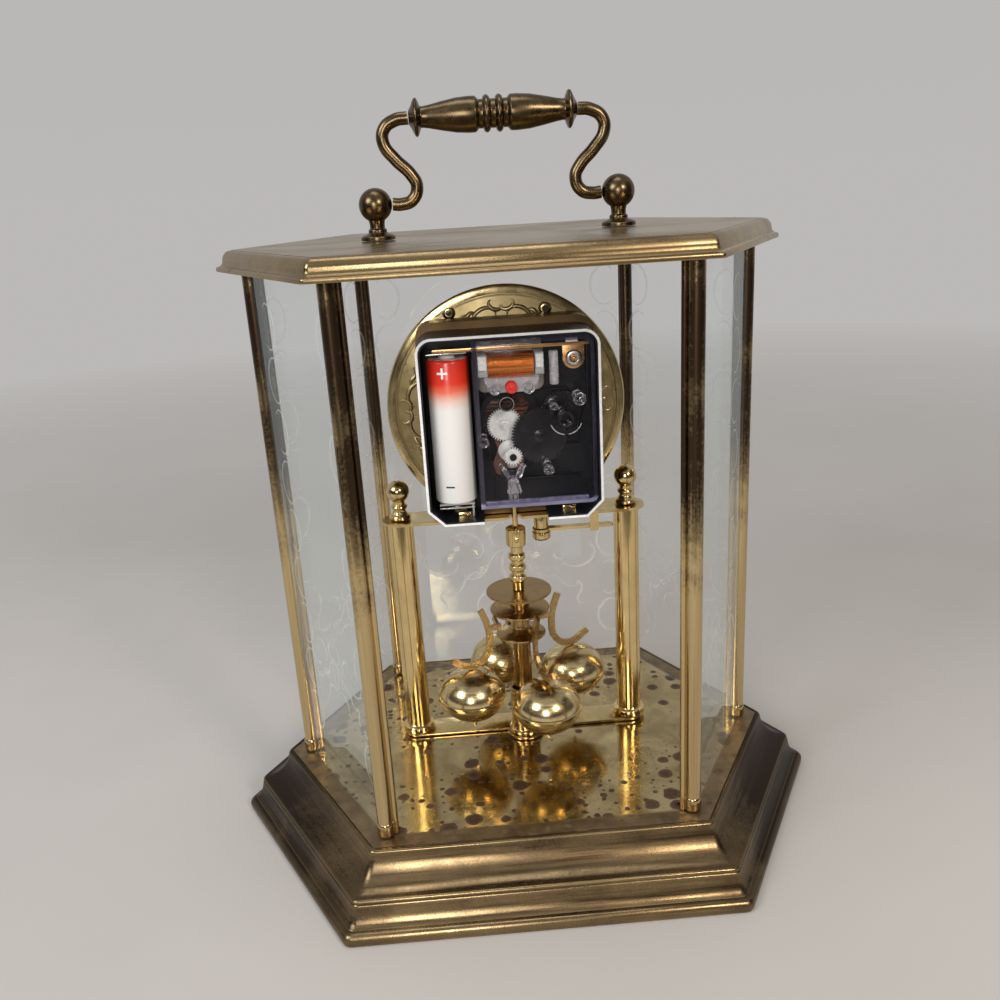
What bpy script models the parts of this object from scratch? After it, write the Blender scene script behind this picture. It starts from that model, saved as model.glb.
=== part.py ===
import bpy
import bmesh
from math import atan2, cos, hypot, pi, radians, sin, sqrt
from mathutils import Vector

# Anniversary clock in a glazed six-sided case, in metres. Z is up, the dial faces -Y and the case is open
# at +Y. Left and right are as seen from the front. The origin is in the middle of the underside.

# Case: the six posts stand on the corners of a hexagon that is longest from side to side
case_edge = 0.0507
case_depth = 0.0550
case_width = 0.0815
floor_height = 0.0235
dial_headroom = 0.0110
fit_gap = 0.0003
cut_overrun = 0.0010

# Base moulding, with widths counted outward from the post axes
base_rim = 0.0080
base_foot = 0.0237
base_recess = 0.0070
base_flange_width = 0.0040
base_flange_thickness = 0.0012
floor_thickness = 0.0008
cover_thickness = 0.0012
hinge_hole_radius = 0.0012
hinge_hole_side = 0.0032
hinge_hole_front = 0.0026
base_outer_shares = [
    (0.000, 1.000), (0.064, 0.957), (0.108, 0.864), (0.178, 0.770), (0.293, 0.702), (0.446, 0.660),
    (0.561, 0.604), (0.624, 0.545), (0.650, 0.481), (0.675, 0.447), (0.777, 0.409), (0.834, 0.340),
    (0.854, 0.264), (0.841, 0.196), (0.866, 0.162), (0.955, 0.145), (1.000, 0.102), (1.000, 0.051),
    (0.975, 0.000)]
base_inner_shares = [
    (0.847, 0.000), (0.847, 0.060), (0.758, 0.094), (0.758, 0.315), (0.580, 0.396), (0.548, 0.511),
    (0.369, 0.600), (0.185, 0.651), (0.076, 0.749), (0.000, 0.868)]

# Roof moulding
roof_thickness = 0.0065
roof_overhang = 0.0093
roof_flange_width = 0.0060
roof_outer_shares = [
    (0.452, 1.00), (0.634, 0.92), (0.742, 0.74), (0.774, 0.49), (0.806, 0.35), (0.925, 0.25), (1.000, 0.15),
    (1.000, 0.00)]
roof_inner_shares = [(0.796, 0.154), (0.656, 0.369), (0.613, 0.677), (0.452, 0.831)]
roof_sheet_share = 0.154

# Posts and glass
post_radius = 0.00265
post_strip_radius = 0.00095
post_strip_reach = 0.0033
post_foot_radius = 0.0030
post_foot_height = 0.0040
glass_thickness = 0.0018

# Carrying handle
handle_half_span = 0.0390
handle_ball_radius = 0.0053
handle_ball_height = 0.0110
handle_ball_cut = radians(63)
handle_foot_radius = 0.0055
handle_foot_height = 0.0010
handle_neck_radius = 0.0024
handle_rod_radius = 0.0020
handle_rise = 0.0253
handle_arm_width = 0.0127
grip_radius = 0.0058
arm_shares = [
    (0.354, -0.008), (0.060, 0.035), (-0.079, 0.198), (0.050, 0.340), (0.409, 0.530), (0.665, 0.720),
    (0.630, 0.880), (0.330, 0.985)]
grip_shares = [
    (0.030, 0.76), (0.054, 0.93), (0.084, 0.97), (0.114, 0.93), (0.138, 0.76), (0.190, 0.76), (0.213, 0.93),
    (0.440, 0.88), (0.660, 0.70), (0.837, 0.55), (0.865, 0.55), (0.885, 0.90), (0.915, 1.00), (0.950, 0.75),
    (1.000, 0.36)]

# Stand
pillar_half_span = 0.0410
pillar_radius = 0.00455
pillar_ring_radius = 0.0060
pillar_ring_height = 0.0026
pillar_ring_shoulder_share = 1.2
pillar_height = 0.0846
strip_thickness = 0.0010
foot_strip_half_width = 0.0056
foot_strip_lobe = 0.0070
platform_back = 0.0002
platform_half_width = 0.0066
rod_notch_radius = 0.0026
hook_offset = 0.0190
hook_width = 0.0040
hook_rise = 0.0045
hook_thickness = 0.0010
hook_seat_share = 0.6
tab_offset = 0.0285
tab_width = 0.0030
tab_drop = 0.0065
finial_ball_radius = 0.0041
finial_flange_radius = 0.0039
finial_rise = 0.0101
finial_waist_share = 0.7
finial_ball_cut = radians(62)

# Locking lever of the pendulum
lever_offset = 0.0095
lever_back = 0.0032
lever_drop = 0.0049
lever_thickness = 0.0010
lever_length = 0.0262
lever_eye_radius = 0.0032
lever_half_width = 0.0015
lever_screw_head_radius = 0.00335
lever_screw_head_height = 0.0030
lever_screw_shank_radius = 0.0012
lever_collar_radius = 0.00265
lever_head_straight_share = 0.35
lever_head_round_share = 0.80
lever_head_end_share = 0.75

# Pendulum, with heights counted down from the underside of the platform
rod_radius = 0.0010
sleeve_radius = 0.0036
sleeve_top_drop = 0.0030
sleeve_length = 0.0065
sleeve_end_share = 0.9
spindle_radius = 0.0022
spindle_band_radius = 0.0031
spindle_band_length = 0.0021
spindle_band_count = 3
first_band_share = 1.6
band_ease_share = 0.15
spindle_length = 0.0237
regulator_radius = 0.0119
regulator_thickness = 0.0009
hub_stem_radius = 0.0036
hub_stem_length = 0.0058
hub_disc_radius = 0.0109
hub_disc_thickness = 0.0010
drum_radius = 0.0076
drum_length = 0.0090
hub_lower_radius = 0.0085
tube_radius = 0.0033
tube_length = 0.0290
arm_stroke = 0.0024
arm_thickness = 0.0012
arm_rise = 0.02115
arm_tip_rise = 0.0030
arm_lobe_share = 0.63
arm_lobe_half_height = 0.0010
arm_reach = 0.0277
arm_azimuth = radians(19.6)
arm_count = 4
ball_orbit = 0.0206
ball_radius = 0.0120
ball_half_height = 0.0100
ball_seam = 0.0003
ball_seam_height = 0.0012
ball_seam_turn = radians(7)
ball_hole_radius = 0.0009
ball_nub_radius = 0.0007
ball_nub_length = 0.0020
cup_radius = 0.0052
cup_bore = 0.0044
cup_foot_radius = 0.0061
cup_foot_height = 0.0014
cup_engagement = 0.0075
pendulum_arm_shares = [
    (0.560, 1.000), (0.512, 0.850), (0.466, 0.660), (0.452, 0.440), (0.470, 0.225), (0.585, 0.040),
    (0.745, 0.000), (0.860, 0.060), (0.985, 0.170)]

# Dial and hands
dial_rise = 0.0375
dial_radius = 0.0425
dial_thickness = 0.0008
bezel_wall = 0.0008
bezel_lip = 0.0030
bezel_depth = 0.0030
bezel_roll = 0.0004
bezel_round_share = 0.8
chapter_margin = 0.0050
chapter_width = 0.0110
chapter_relief = 0.0004
bush_radius = 0.0036
bush_bore = 0.0022
bush_reach = 0.0022
nut_radius = 0.0060
nut_thickness = 0.0016
nut_sides = 6
spacer_half_width = 0.0303
spacer_rise = 0.0320
spacer_wall = 0.0012
hand_thickness = 0.0005
hand_spacing = 0.0009
hand_boss_radius = 0.0032
hour_hand_length = 0.0205
minute_hand_length = 0.0300
hand_half_width = 0.0021
hour_pipe_radius = 0.0019
hour_pipe_bore = 0.0013
hour_wheel_radius = 0.0060
hour_wheel_steps = 32
hand_lap_share = 0.6
arbor_radius = 0.0010
hour_angle = radians(305)
minute_angle = radians(60)
hand_shares = [
    (0.10, 0.38), (0.40, 0.26), (0.55, 0.60), (0.66, 1.00), (0.76, 0.55), (0.86, 0.20), (1.00, 0.05)]

# Movement, with heights counted from the dial's centre
movement_half_width = 0.0302
movement_bottom = 0.0349
movement_top = 0.0295
movement_front = 0.0040
movement_rear = 0.0130
movement_wall = 0.0015
movement_corner = 0.0055
movement_chamfer = 0.0056
movement_chamfer_inset_share = 0.586
movement_notch = 0.0110
partition_thickness = 0.0008
partition_gap = 0.0007
lid_thickness = 0.0010
lid_bottom = 0.0291
shelf_half_width = 0.0040
shelf_thickness = 0.0022
shelf_reach = 0.0030
shelf_rise = 0.0137
yoke_radius = 0.0018
yoke_length = 0.0096
yoke_head_radius = 0.0022
yoke_head_height = 0.0015
yoke_head_round_share = 0.6
yoke_neck_radius = 0.0010
battery_radius = 0.0071
battery_length = 0.0495
battery_cap_radius = 0.0027
battery_cap_height = 0.0010
battery_side_gap = 0.0017
battery_rear_gap = 0.0009
battery_foot_gap = 0.0073
battery_ease_share = 0.1
contact_thickness = 0.0006
contact_half_width = 0.0060
contact_depth = 0.0084
lead_height = 0.0014
lead_reach = 0.0272
lead_lap_share = 0.8
contact_foot_share = 0.9
coil_rise = 0.0186
coil_depth = 0.0066
coil_start = -0.0084
coil_end = 0.0069
coil_radius = 0.0046
coil_wire_radius = 0.0004
coil_loops = 12
coil_loop_points = 24
bobbin_start = -0.0117
bobbin_end = 0.0101
bobbin_flange_radius = 0.0050
bobbin_flange_thickness = 0.0012
stator_thickness = 0.0008
stator_rise = 0.0110
stator_height = 0.0148
stator_peg_radius = 0.0012
stator_pegs = [-0.0062, 0.0048]
centre_wheel_radius = 0.0103
centre_wheel_teeth = 60
wheel_thickness = 0.0010
tooth_depth = 0.0005
wheel_start = 0.0003
third_side = -0.0098
third_rise = -0.0069
third_wheel_radius = 0.0097
third_wheel_teeth = 64
third_wheel_back = 0.0045
third_arbor_radius = 0.0008
third_pinion_radius = 0.00135
drive_side = -0.0001
drive_rise = -0.0131
drive_wheel_radius = 0.0029
drive_wheel_teeth = 16
drive_wheel_back = 0.0066
drive_arbor_radius = 0.0006
knob_side = -0.0181
knob_rise = 0.0002
knob_radius = 0.0030
knob_hole_gap = 0.0004
knob_height = 0.0030
knob_proud = 0.0008
knob_gear_radius = 0.0074
knob_gear_teeth = 44
knob_arbor_radius = 0.0008

# Steps round a turned piece, and the distance under which points are welded
fine_steps = 36
ball_steps = 20
round_steps = 16
small_steps = 10
screw_weld = 0.00001
mesh_weld = 0.000001

# Places that follow from the sizes
platform_bottom = floor_height + 2 * fit_gap + strip_thickness + pillar_height + fit_gap
platform_top = platform_bottom + strip_thickness
platform_y = -platform_back - platform_half_width
platform_front = platform_y - platform_half_width
dial_height = platform_top + dial_rise
roof_bottom = dial_height + dial_radius + dial_headroom
roof_top = roof_bottom + roof_thickness
handle_axis_height = roof_top + handle_ball_height
grip_half_length = handle_half_span - handle_arm_width
bezel_rear = platform_front - fit_gap
dial_rear = bezel_rear - bezel_roll
dial_front = dial_rear - dial_thickness
chapter_outer_radius = dial_radius - chapter_margin
chapter_inner_radius = chapter_outer_radius - chapter_width
spindle_top = platform_bottom - sleeve_top_drop
spindle_bottom = spindle_top - spindle_length
hub_top = spindle_bottom - 2 * fit_gap - regulator_thickness
drum_top = hub_top - hub_stem_length - hub_disc_thickness
drum_bottom = drum_top - drum_length
tube_bottom = drum_bottom - hub_disc_thickness - tube_length
arm_top = drum_top + arm_tip_rise
arm_bottom = arm_top - arm_rise
ball_height = arm_bottom - arm_stroke / 2 - fit_gap - ball_half_height
cup_bottom = floor_height + 2 * fit_gap + strip_thickness
battery_x = movement_half_width - movement_wall - battery_side_gap - battery_radius
battery_y = movement_rear - battery_rear_gap - battery_radius
battery_bottom = dial_height - movement_bottom + battery_foot_gap
case_floor = -movement_front + movement_wall
stator_front = coil_depth - bobbin_flange_radius - fit_gap - stator_thickness
facing_front = (pi / 2, 0, 0)

for old in list(bpy.data.objects):
    bpy.data.objects.remove(old, do_unlink=True)

clock = bpy.data.collections.new("anniversary_clock")
cutters = bpy.data.collections.new("cutters")
bpy.context.scene.collection.children.link(clock)
bpy.context.scene.collection.children.link(cutters)

brass = ((0.62, 0.43, 0.17), 0.28, 1.0)
bright_brass = ((0.78, 0.56, 0.22), 0.16, 1.0)
antique_brass = ((0.30, 0.21, 0.11), 0.34, 1.0)
copper = ((0.75, 0.34, 0.14), 0.35, 1.0)
steel = ((0.70, 0.70, 0.68), 0.30, 1.0)
black_plastic = ((0.02, 0.02, 0.025), 0.40, 0.0)
white_plastic = ((0.80, 0.80, 0.78), 0.45, 0.0)
clear_plastic = ((0.70, 0.72, 0.80), 0.10, 0.0)
pane_glass = ((0.80, 0.88, 0.85), 0.04, 0.0)
dark_hand = ((0.05, 0.04, 0.04), 0.35, 0.0)
battery_skin = ((0.85, 0.83, 0.82), 0.30, 0.2)
green_felt = ((0.04, 0.10, 0.06), 0.95, 0.0)


def finish(obj, look):
    colour, roughness, metallic = look
    mat = bpy.data.materials.new(obj.name + "_finish")
    mat.use_nodes = True
    shader = mat.node_tree.nodes["Principled BSDF"]
    shader.inputs["Base Color"].default_value = (*colour, 1.0)
    shader.inputs["Roughness"].default_value = roughness
    shader.inputs["Metallic"].default_value = metallic
    mat.diffuse_color = (*colour, 1.0)
    obj.data.materials.clear()
    obj.data.materials.append(mat)


def place(name, data, look, location=(0, 0, 0), rotation=(0, 0, 0)):
    obj = bpy.data.objects.new(name, data)
    obj.location = location
    obj.rotation_euler = rotation
    if look:
        clock.objects.link(obj)
        finish(obj, look)
    else:
        cutters.objects.link(obj)
        obj.hide_render = True
        obj.display_type = "WIRE"
    return obj


def mesh_from(name, bm):
    mesh = bpy.data.meshes.new(name)
    bm.to_mesh(mesh)
    bm.free()
    return mesh


def box(name, size, centre, look=None, turn=0.0):
    bm = bmesh.new()
    bmesh.ops.create_cube(bm, size=1.0)
    bmesh.ops.scale(bm, vec=size, verts=bm.verts)
    return place(name, mesh_from(name, bm), look, centre, (0, 0, turn))


def rod(name, radius, length, middle, look=None, rotation=(0, 0, 0), steps=round_steps):
    bm = bmesh.new()
    bmesh.ops.create_cone(bm, cap_ends=True, segments=steps, radius1=radius, radius2=radius, depth=length)
    mesh = mesh_from(name, bm)
    mesh.shade_smooth()
    mesh.set_sharp_from_angle(angle=radians(40))
    return place(name, mesh, look, middle, rotation)


# The profile holds (radius, height) points down the outer side, from the top to the bottom
def turned(name, profile, look, location=(0, 0, 0), rotation=(0, 0, 0), steps=round_steps, ring=False):
    edges = [(i, i + 1) for i in range(len(profile) - 1)]
    if ring:
        edges.append((len(profile) - 1, 0))
    mesh = bpy.data.meshes.new(name)
    mesh.from_pydata([(radius, 0, height) for radius, height in profile], edges, [])
    obj = place(name, mesh, look, location, rotation)
    screw = obj.modifiers.new("turn", "SCREW")
    screw.steps = steps
    screw.render_steps = steps
    screw.use_merge_vertices = True
    screw.merge_threshold = screw_weld
    return obj


# A flat outline with its thickness centred on its own plane
def flat(name, outline, thickness, look, location=(0, 0, 0), rotation=(0, 0, 0)):
    curve = bpy.data.curves.new(name, "CURVE")
    curve.dimensions = "2D"
    curve.fill_mode = "BOTH"
    curve.extrude = thickness / 2
    spline = curve.splines.new("POLY")
    spline.points.add(len(outline) - 1)
    for point, (x, y) in zip(spline.points, outline):
        point.co = (x, y, 0, 1)
    spline.use_cyclic_u = True
    return place(name, curve, look, location, rotation)


def solid(obj, look=None):
    bpy.context.view_layer.update()
    mesh = bpy.data.meshes.new_from_object(obj.evaluated_get(bpy.context.evaluated_depsgraph_get()))
    bm = bmesh.new()
    bm.from_mesh(mesh)
    bmesh.ops.remove_doubles(bm, verts=bm.verts, dist=mesh_weld)
    bm.to_mesh(mesh)
    bm.free()
    name = obj.name
    matrix = obj.matrix_world.copy()
    bpy.data.objects.remove(obj)
    made = place(name, mesh, look)
    made.matrix_world = matrix
    return made


def flat_solid(name, outline, thickness, look=None, location=(0, 0, 0), rotation=(0, 0, 0)):
    return solid(flat(name, outline, thickness, look, location, rotation), look)


def combine(obj, other, operation):
    step = obj.modifiers.new(operation.lower() + "_" + other.name, "BOOLEAN")
    step.operation = operation
    step.solver = "EXACT"
    step.object = other


def join(obj, *others):
    for other in others:
        combine(obj, other, "UNION")


def cut(obj, *others):
    for other in others:
        combine(obj, other, "DIFFERENCE")


def axis(name, location):
    empty = bpy.data.objects.new(name, None)
    empty.empty_display_size = handle_ball_radius
    empty.location = location
    clock.objects.link(empty)
    return empty


def hang(empty, *pieces):
    for piece in pieces:
        piece.location = Vector(piece.location) - empty.location
        piece.parent = empty


def arc(centre, radius, start, end, points):
    return [(centre[0] + radius * cos(start + (end - start) * i / points),
             centre[1] + radius * sin(start + (end - start) * i / points)) for i in range(points + 1)]


def hexagon(offset):
    side = hypot(case_depth, case_width - case_edge)
    edge = case_edge + offset * (side - (case_width - case_edge)) / case_depth
    width = case_width + offset * side / case_depth
    depth = case_depth + offset
    return [(edge, depth), (width, 0), (edge, -depth), (-edge, -depth), (-width, 0), (-edge, depth)]


# A mitred moulding: (offset, height) rings round the hexagon, closed on itself or capped at both ends
def moulding(name, rings, look, closed):
    bm = bmesh.new()
    loops = [[bm.verts.new((x, y, height)) for x, y in hexagon(offset)] for offset, height in rings]
    pairs = list(zip(loops, loops[1:]))
    if closed:
        pairs.append((loops[-1], loops[0]))
    else:
        bm.faces.new(loops[0])
        bm.faces.new(loops[-1])
    for upper, lower in pairs:
        for i in range(len(upper)):
            k = (i + 1) % len(upper)
            bm.faces.new((upper[i], upper[k], lower[k], lower[i]))
    bmesh.ops.recalc_face_normals(bm, faces=bm.faces)
    return place(name, mesh_from(name, bm), look)


def base():
    reach = base_foot - base_rim
    outer = [(base_rim + reach * o, floor_height * h) for o, h in base_outer_shares]
    inner = [(base_rim + reach * o, floor_height * h) for o, h in base_inner_shares]
    ledge = floor_height - floor_thickness - fit_gap
    flange = [(-base_flange_width, ledge - base_flange_thickness), (-base_flange_width, ledge)]
    recess = [(base_recess, ledge), (base_recess, floor_height)]
    moulding("base_shell", outer + inner + flange + recess, brass, True)

    plate = flat_solid("floor_plate", hexagon(base_recess - fit_gap), floor_thickness, bright_brass,
                       (0, 0, floor_height - floor_thickness / 2))
    for side in (-1, 1):
        place_x = side * (case_edge - hinge_hole_side)
        hole = rod("hinge_hole_" + ("left" if side < 0 else "right"), hinge_hole_radius,
                   floor_thickness + 2 * cut_overrun,
                   (place_x, case_depth - hinge_hole_front, floor_height - floor_thickness / 2),
                   steps=small_steps)
        cut(plate, hole)
    foot_inside = base_rim + reach * base_inner_shares[0][0]
    flat("base_cover", hexagon(foot_inside - fit_gap), cover_thickness, green_felt,
         (0, 0, cover_thickness / 2))


def roof():
    outer = [(roof_overhang * o, roof_bottom + roof_thickness * h) for o, h in roof_outer_shares]
    sheet = roof_bottom + roof_thickness * roof_sheet_share
    flange = [(-roof_flange_width, roof_bottom), (-roof_flange_width, sheet)]
    inner = [(roof_overhang * o, roof_bottom + roof_thickness * h) for o, h in roof_inner_shares]
    moulding("roof", outer + flange + inner, brass, False)


# Section of a rolled post: a tube with a narrow bead along one side
def post_section():
    meet = (post_strip_reach ** 2 + post_radius ** 2 - post_strip_radius ** 2) / (2 * post_strip_reach)
    half = sqrt(post_radius ** 2 - meet ** 2)
    tube_angle = atan2(half, meet)
    bead_angle = atan2(half, meet - post_strip_reach)
    tube = arc((0, 0), post_radius, tube_angle, 2 * pi - tube_angle, 16)
    bead = arc((post_strip_reach, 0), post_strip_radius, -bead_angle, bead_angle, 8)
    return tube + bead[1:-1]


def posts():
    names = ("rear_right", "side_right", "front_right", "front_left", "side_left", "rear_left")
    inward = (pi, pi, radians(120), radians(60), 0, 0)
    low = floor_height + fit_gap
    high = roof_bottom - fit_gap
    for (x, y), name, turn in zip(hexagon(0), names, inward):
        post = flat_solid("post_" + name, post_section(), high - low, brass, (x, y, (low + high) / 2),
                          (0, 0, turn))
        foot = rod("post_foot_" + name, post_foot_radius, post_foot_height,
                   (x, y, low + post_foot_height / 2))
        join(post, foot)


def panes():
    names = ("rear_right", "front_right", "front", "front_left", "rear_left")
    corners = hexagon(0)
    height = roof_bottom - floor_height - 2 * fit_gap
    inset = max(post_radius, post_foot_radius) + fit_gap
    for name, start, end in zip(names, corners, corners[1:]):
        run = Vector(end) - Vector(start)
        middle = (Vector(end) + Vector(start)) / 2
        box("pane_" + name, (run.length - 2 * inset, glass_thickness, height),
            (*middle, floor_height + fit_gap + height / 2), pane_glass, atan2(run.y, run.x))


def handle_posts():
    ball = arc((0, 0), handle_ball_radius, pi / 2, -handle_ball_cut, 9)
    foot = -handle_ball_height + fit_gap
    profile = [(0, handle_ball_radius)] + ball[1:]
    profile += [(handle_neck_radius, (ball[-1][1] + foot) / 2)]
    profile += [(handle_foot_radius, foot + handle_foot_height), (handle_foot_radius, foot), (0, foot)]
    for side, name in ((-1, "left"), (1, "right")):
        turned("handle_post_" + name, profile, antique_brass,
               (side * handle_half_span, 0, handle_axis_height))


def handle():
    swing = axis("handle_swing_axis", (0, 0, handle_axis_height))
    start = handle_half_span - handle_ball_radius - fit_gap
    end = grip_half_length + fit_gap
    route = [(start, 0)]
    route += [(grip_half_length + handle_arm_width * o, handle_rise * h) for o, h in arm_shares]
    route += [(end, handle_rise)]
    for side, name in ((-1, "left"), (1, "right")):
        curve = bpy.data.curves.new("handle_arm_" + name, "CURVE")
        curve.dimensions = "3D"
        curve.bevel_depth = handle_rod_radius
        curve.bevel_resolution = 3
        curve.use_fill_caps = True
        curve.resolution_u = 4
        spline = curve.splines.new("BEZIER")
        spline.bezier_points.add(len(route) - 1)
        for point, (x, z) in zip(spline.bezier_points, route):
            point.co = (side * x, 0, z)
            point.handle_left_type = "AUTO"
            point.handle_right_type = "AUTO"
        hang(swing, place("handle_arm_" + name, curve, antique_brass, (0, 0, handle_axis_height)))
    half = [(grip_radius * r, grip_half_length * o) for o, r in grip_shares]
    profile = [(0, grip_half_length)] + half[::-1] + [(r, -x) for r, x in half] + [(0, -grip_half_length)]
    grip = turned("handle_grip", profile, antique_brass, (0, 0, handle_axis_height + handle_rise),
                  (0, pi / 2, 0))
    hang(swing, grip)


# A strip with round ends about the pillars, whose rear edge swells round the middle
def lobed_strip(half_width, middle_y, lobe):
    meet = sqrt(lobe ** 2 - (middle_y + half_width) ** 2)
    turn = atan2(middle_y + half_width, meet)
    left = arc((-pillar_half_span, middle_y), half_width, 3 * pi / 2, pi / 2, 10)
    right = arc((pillar_half_span, middle_y), half_width, pi / 2, -pi / 2, 10)
    return left + arc((0, 0), lobe, pi - turn, turn, 12) + right


def notched_strip(half_width, middle_y, notch):
    edge = middle_y + half_width
    meet = sqrt(notch ** 2 - edge ** 2)
    turn = atan2(edge, meet)
    left = arc((-pillar_half_span, middle_y), half_width, 3 * pi / 2, pi / 2, 10)
    right = arc((pillar_half_span, middle_y), half_width, pi / 2, -pi / 2, 10)
    return left + arc((0, 0), notch, turn - pi, -turn, 8) + right


def stand():
    strip_z = floor_height + fit_gap + strip_thickness / 2
    flat("foot_strip", lobed_strip(foot_strip_half_width, platform_y, foot_strip_lobe), strip_thickness,
         bright_brass, (0, 0, strip_z))
    foot = strip_z + strip_thickness / 2 + fit_gap
    profile = [(0, pillar_height), (pillar_radius, pillar_height),
               (pillar_radius, pillar_ring_height * pillar_ring_shoulder_share),
               (pillar_ring_radius, pillar_ring_height), (pillar_ring_radius, 0), (0, 0)]
    finial = arc((0, finial_rise), finial_ball_radius, pi / 2, -finial_ball_cut, 8)
    finial = [(0, finial_rise + finial_ball_radius)] + finial[1:]
    finial += [(finial_flange_radius * finial_waist_share, pillar_ring_height),
               (finial_flange_radius, pillar_ring_height / 2), (finial_flange_radius, 0), (0, 0)]
    for side, name in ((-1, "left"), (1, "right")):
        turned("pillar_" + name, profile, bright_brass, (side * pillar_half_span, platform_y, foot))
        turned("finial_" + name, finial, brass,
               (side * pillar_half_span, platform_y, platform_top + fit_gap))

    strip = flat_solid("platform_strip", notched_strip(platform_half_width, platform_y, rod_notch_radius),
                       strip_thickness, bright_brass, (0, 0, platform_bottom + strip_thickness / 2))
    edge_y = -platform_back - hook_thickness * hook_seat_share
    for side, name in ((-1, "left"), (1, "right")):
        height = hook_rise + strip_thickness / 2
        join(strip, box("hook_" + name, (hook_width, hook_thickness, height),
                        (side * hook_offset, edge_y, platform_top - strip_thickness / 2 + height / 2)))
    height = tab_drop + strip_thickness / 2
    join(strip, box("guide_tab", (tab_width, hook_thickness, height),
                    (-tab_offset, edge_y, platform_bottom + strip_thickness / 2 - height / 2)))


def lever():
    top = platform_bottom - lever_drop
    pivot = (-lever_offset, -lever_back, top - lever_thickness / 2)
    meet = asin_share(lever_half_width, lever_eye_radius)
    eye = arc((0, 0), lever_eye_radius, pi + meet, 3 * pi - meet, 12)
    tip = arc((-lever_length + lever_half_width, 0), lever_half_width, pi / 2, 3 * pi / 2, 6)
    arm = flat_solid("lock_lever", eye + tip, lever_thickness, bright_brass, pivot)
    hole = rod("lever_hole", lever_screw_shank_radius + fit_gap, lever_thickness + 2 * cut_overrun, pivot)
    cut(arm, hole)
    low = top - lever_thickness - fit_gap
    collar = top + fit_gap
    head = lever_screw_head_height
    profile = [(0, platform_bottom - fit_gap), (lever_collar_radius, platform_bottom - fit_gap),
               (lever_collar_radius, collar), (lever_screw_shank_radius, collar),
               (lever_screw_shank_radius, low), (lever_screw_head_radius, low),
               (lever_screw_head_radius, low - head * lever_head_straight_share),
               (lever_screw_head_radius * lever_head_end_share, low - head * lever_head_round_share),
               (0, low - head)]
    turned("lock_screw", profile, bright_brass, (pivot[0], pivot[1], 0))


def asin_share(part, whole):
    return atan2(part, sqrt(whole ** 2 - part ** 2))


def pendulum_turned():
    rod_top = dial_height - movement_bottom + shelf_rise - yoke_length - fit_gap
    rod_bottom = spindle_top + fit_gap
    suspension = rod("suspension_rod", rod_radius, rod_top - rod_bottom, (0, 0, (rod_top + rod_bottom) / 2),
                     brass, steps=small_steps)
    profile = [(0, spindle_top), (sleeve_radius * sleeve_end_share, spindle_top),
               (sleeve_radius, spindle_top - rod_radius), (sleeve_radius, spindle_top - sleeve_length),
               (spindle_radius, spindle_top - sleeve_length)]
    step = (spindle_length - sleeve_length - spindle_band_length) / spindle_band_count
    for i in range(spindle_band_count):
        band = spindle_top - sleeve_length - spindle_band_length * first_band_share - step * i
        profile += [(spindle_radius, band),
                    (spindle_band_radius, band - spindle_band_length * band_ease_share),
                    (spindle_band_radius, band - spindle_band_length * (1 - band_ease_share)),
                    (spindle_radius, band - spindle_band_length)]
    profile += [(spindle_radius, spindle_bottom), (0, spindle_bottom)]
    spindle = turned("pendulum_spindle", profile, bright_brass)
    disc_top = spindle_bottom - fit_gap
    disc = rod("regulator_disc", regulator_radius, regulator_thickness,
               (0, 0, disc_top - regulator_thickness / 2), bright_brass, steps=fine_steps)
    profile = [(0, hub_top), (hub_stem_radius, hub_top), (hub_stem_radius, hub_top - hub_stem_length)]
    profile += [(hub_disc_radius, hub_top - hub_stem_length), (hub_disc_radius, drum_top)]
    profile += [(drum_radius, drum_top), (drum_radius, drum_bottom), (hub_lower_radius, drum_bottom)]
    profile += [(hub_lower_radius, drum_bottom - hub_disc_thickness)]
    profile += [(tube_radius, drum_bottom - hub_disc_thickness), (tube_radius, tube_bottom), (0, tube_bottom)]
    hub = turned("pendulum_hub", profile, bright_brass, steps=ball_steps)
    return [suspension, spindle, disc, hub]


def smooth_points(points):
    ends = [points[0]] + points + [points[-1]]
    made = []
    for a, b, c, d in zip(ends, ends[1:], ends[2:], ends[3:]):
        made.append(b)
        made.append(tuple((9 * (b[k] + c[k]) - a[k] - d[k]) / 16 for k in range(2)))
    return made + [points[-1]]


def sides_of(points, half):
    left = []
    right = []
    for i, (x, y) in enumerate(points):
        ahead = points[min(i + 1, len(points) - 1)]
        behind = points[max(i - 1, 0)]
        run = hypot(ahead[0] - behind[0], ahead[1] - behind[1])
        across = ((behind[1] - ahead[1]) / run * half, (ahead[0] - behind[0]) / run * half)
        left.append((x + across[0], y + across[1]))
        right.append((x - across[0], y - across[1]))
    return left, right


def arm_outline():
    centre = smooth_points([(arm_reach * o, arm_bottom + arm_rise * h) for o, h in pendulum_arm_shares])
    outer, inner = sides_of(centre, arm_stroke / 2)
    lobe = arm_bottom + arm_rise * arm_lobe_share
    above = [p for p in inner if p[1] > lobe + arm_lobe_half_height and p[0] < ball_orbit]
    below = inner[len(above):]
    while below[0][1] > lobe - arm_lobe_half_height:
        below = below[1:]
    neck = above[-1][0]
    bridge = [(neck, lobe + arm_lobe_half_height), (drum_radius + fit_gap, lobe + arm_lobe_half_height),
              (drum_radius + fit_gap, lobe - arm_lobe_half_height), (neck, lobe - arm_lobe_half_height)]
    return above + bridge + below + outer[::-1]


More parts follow.
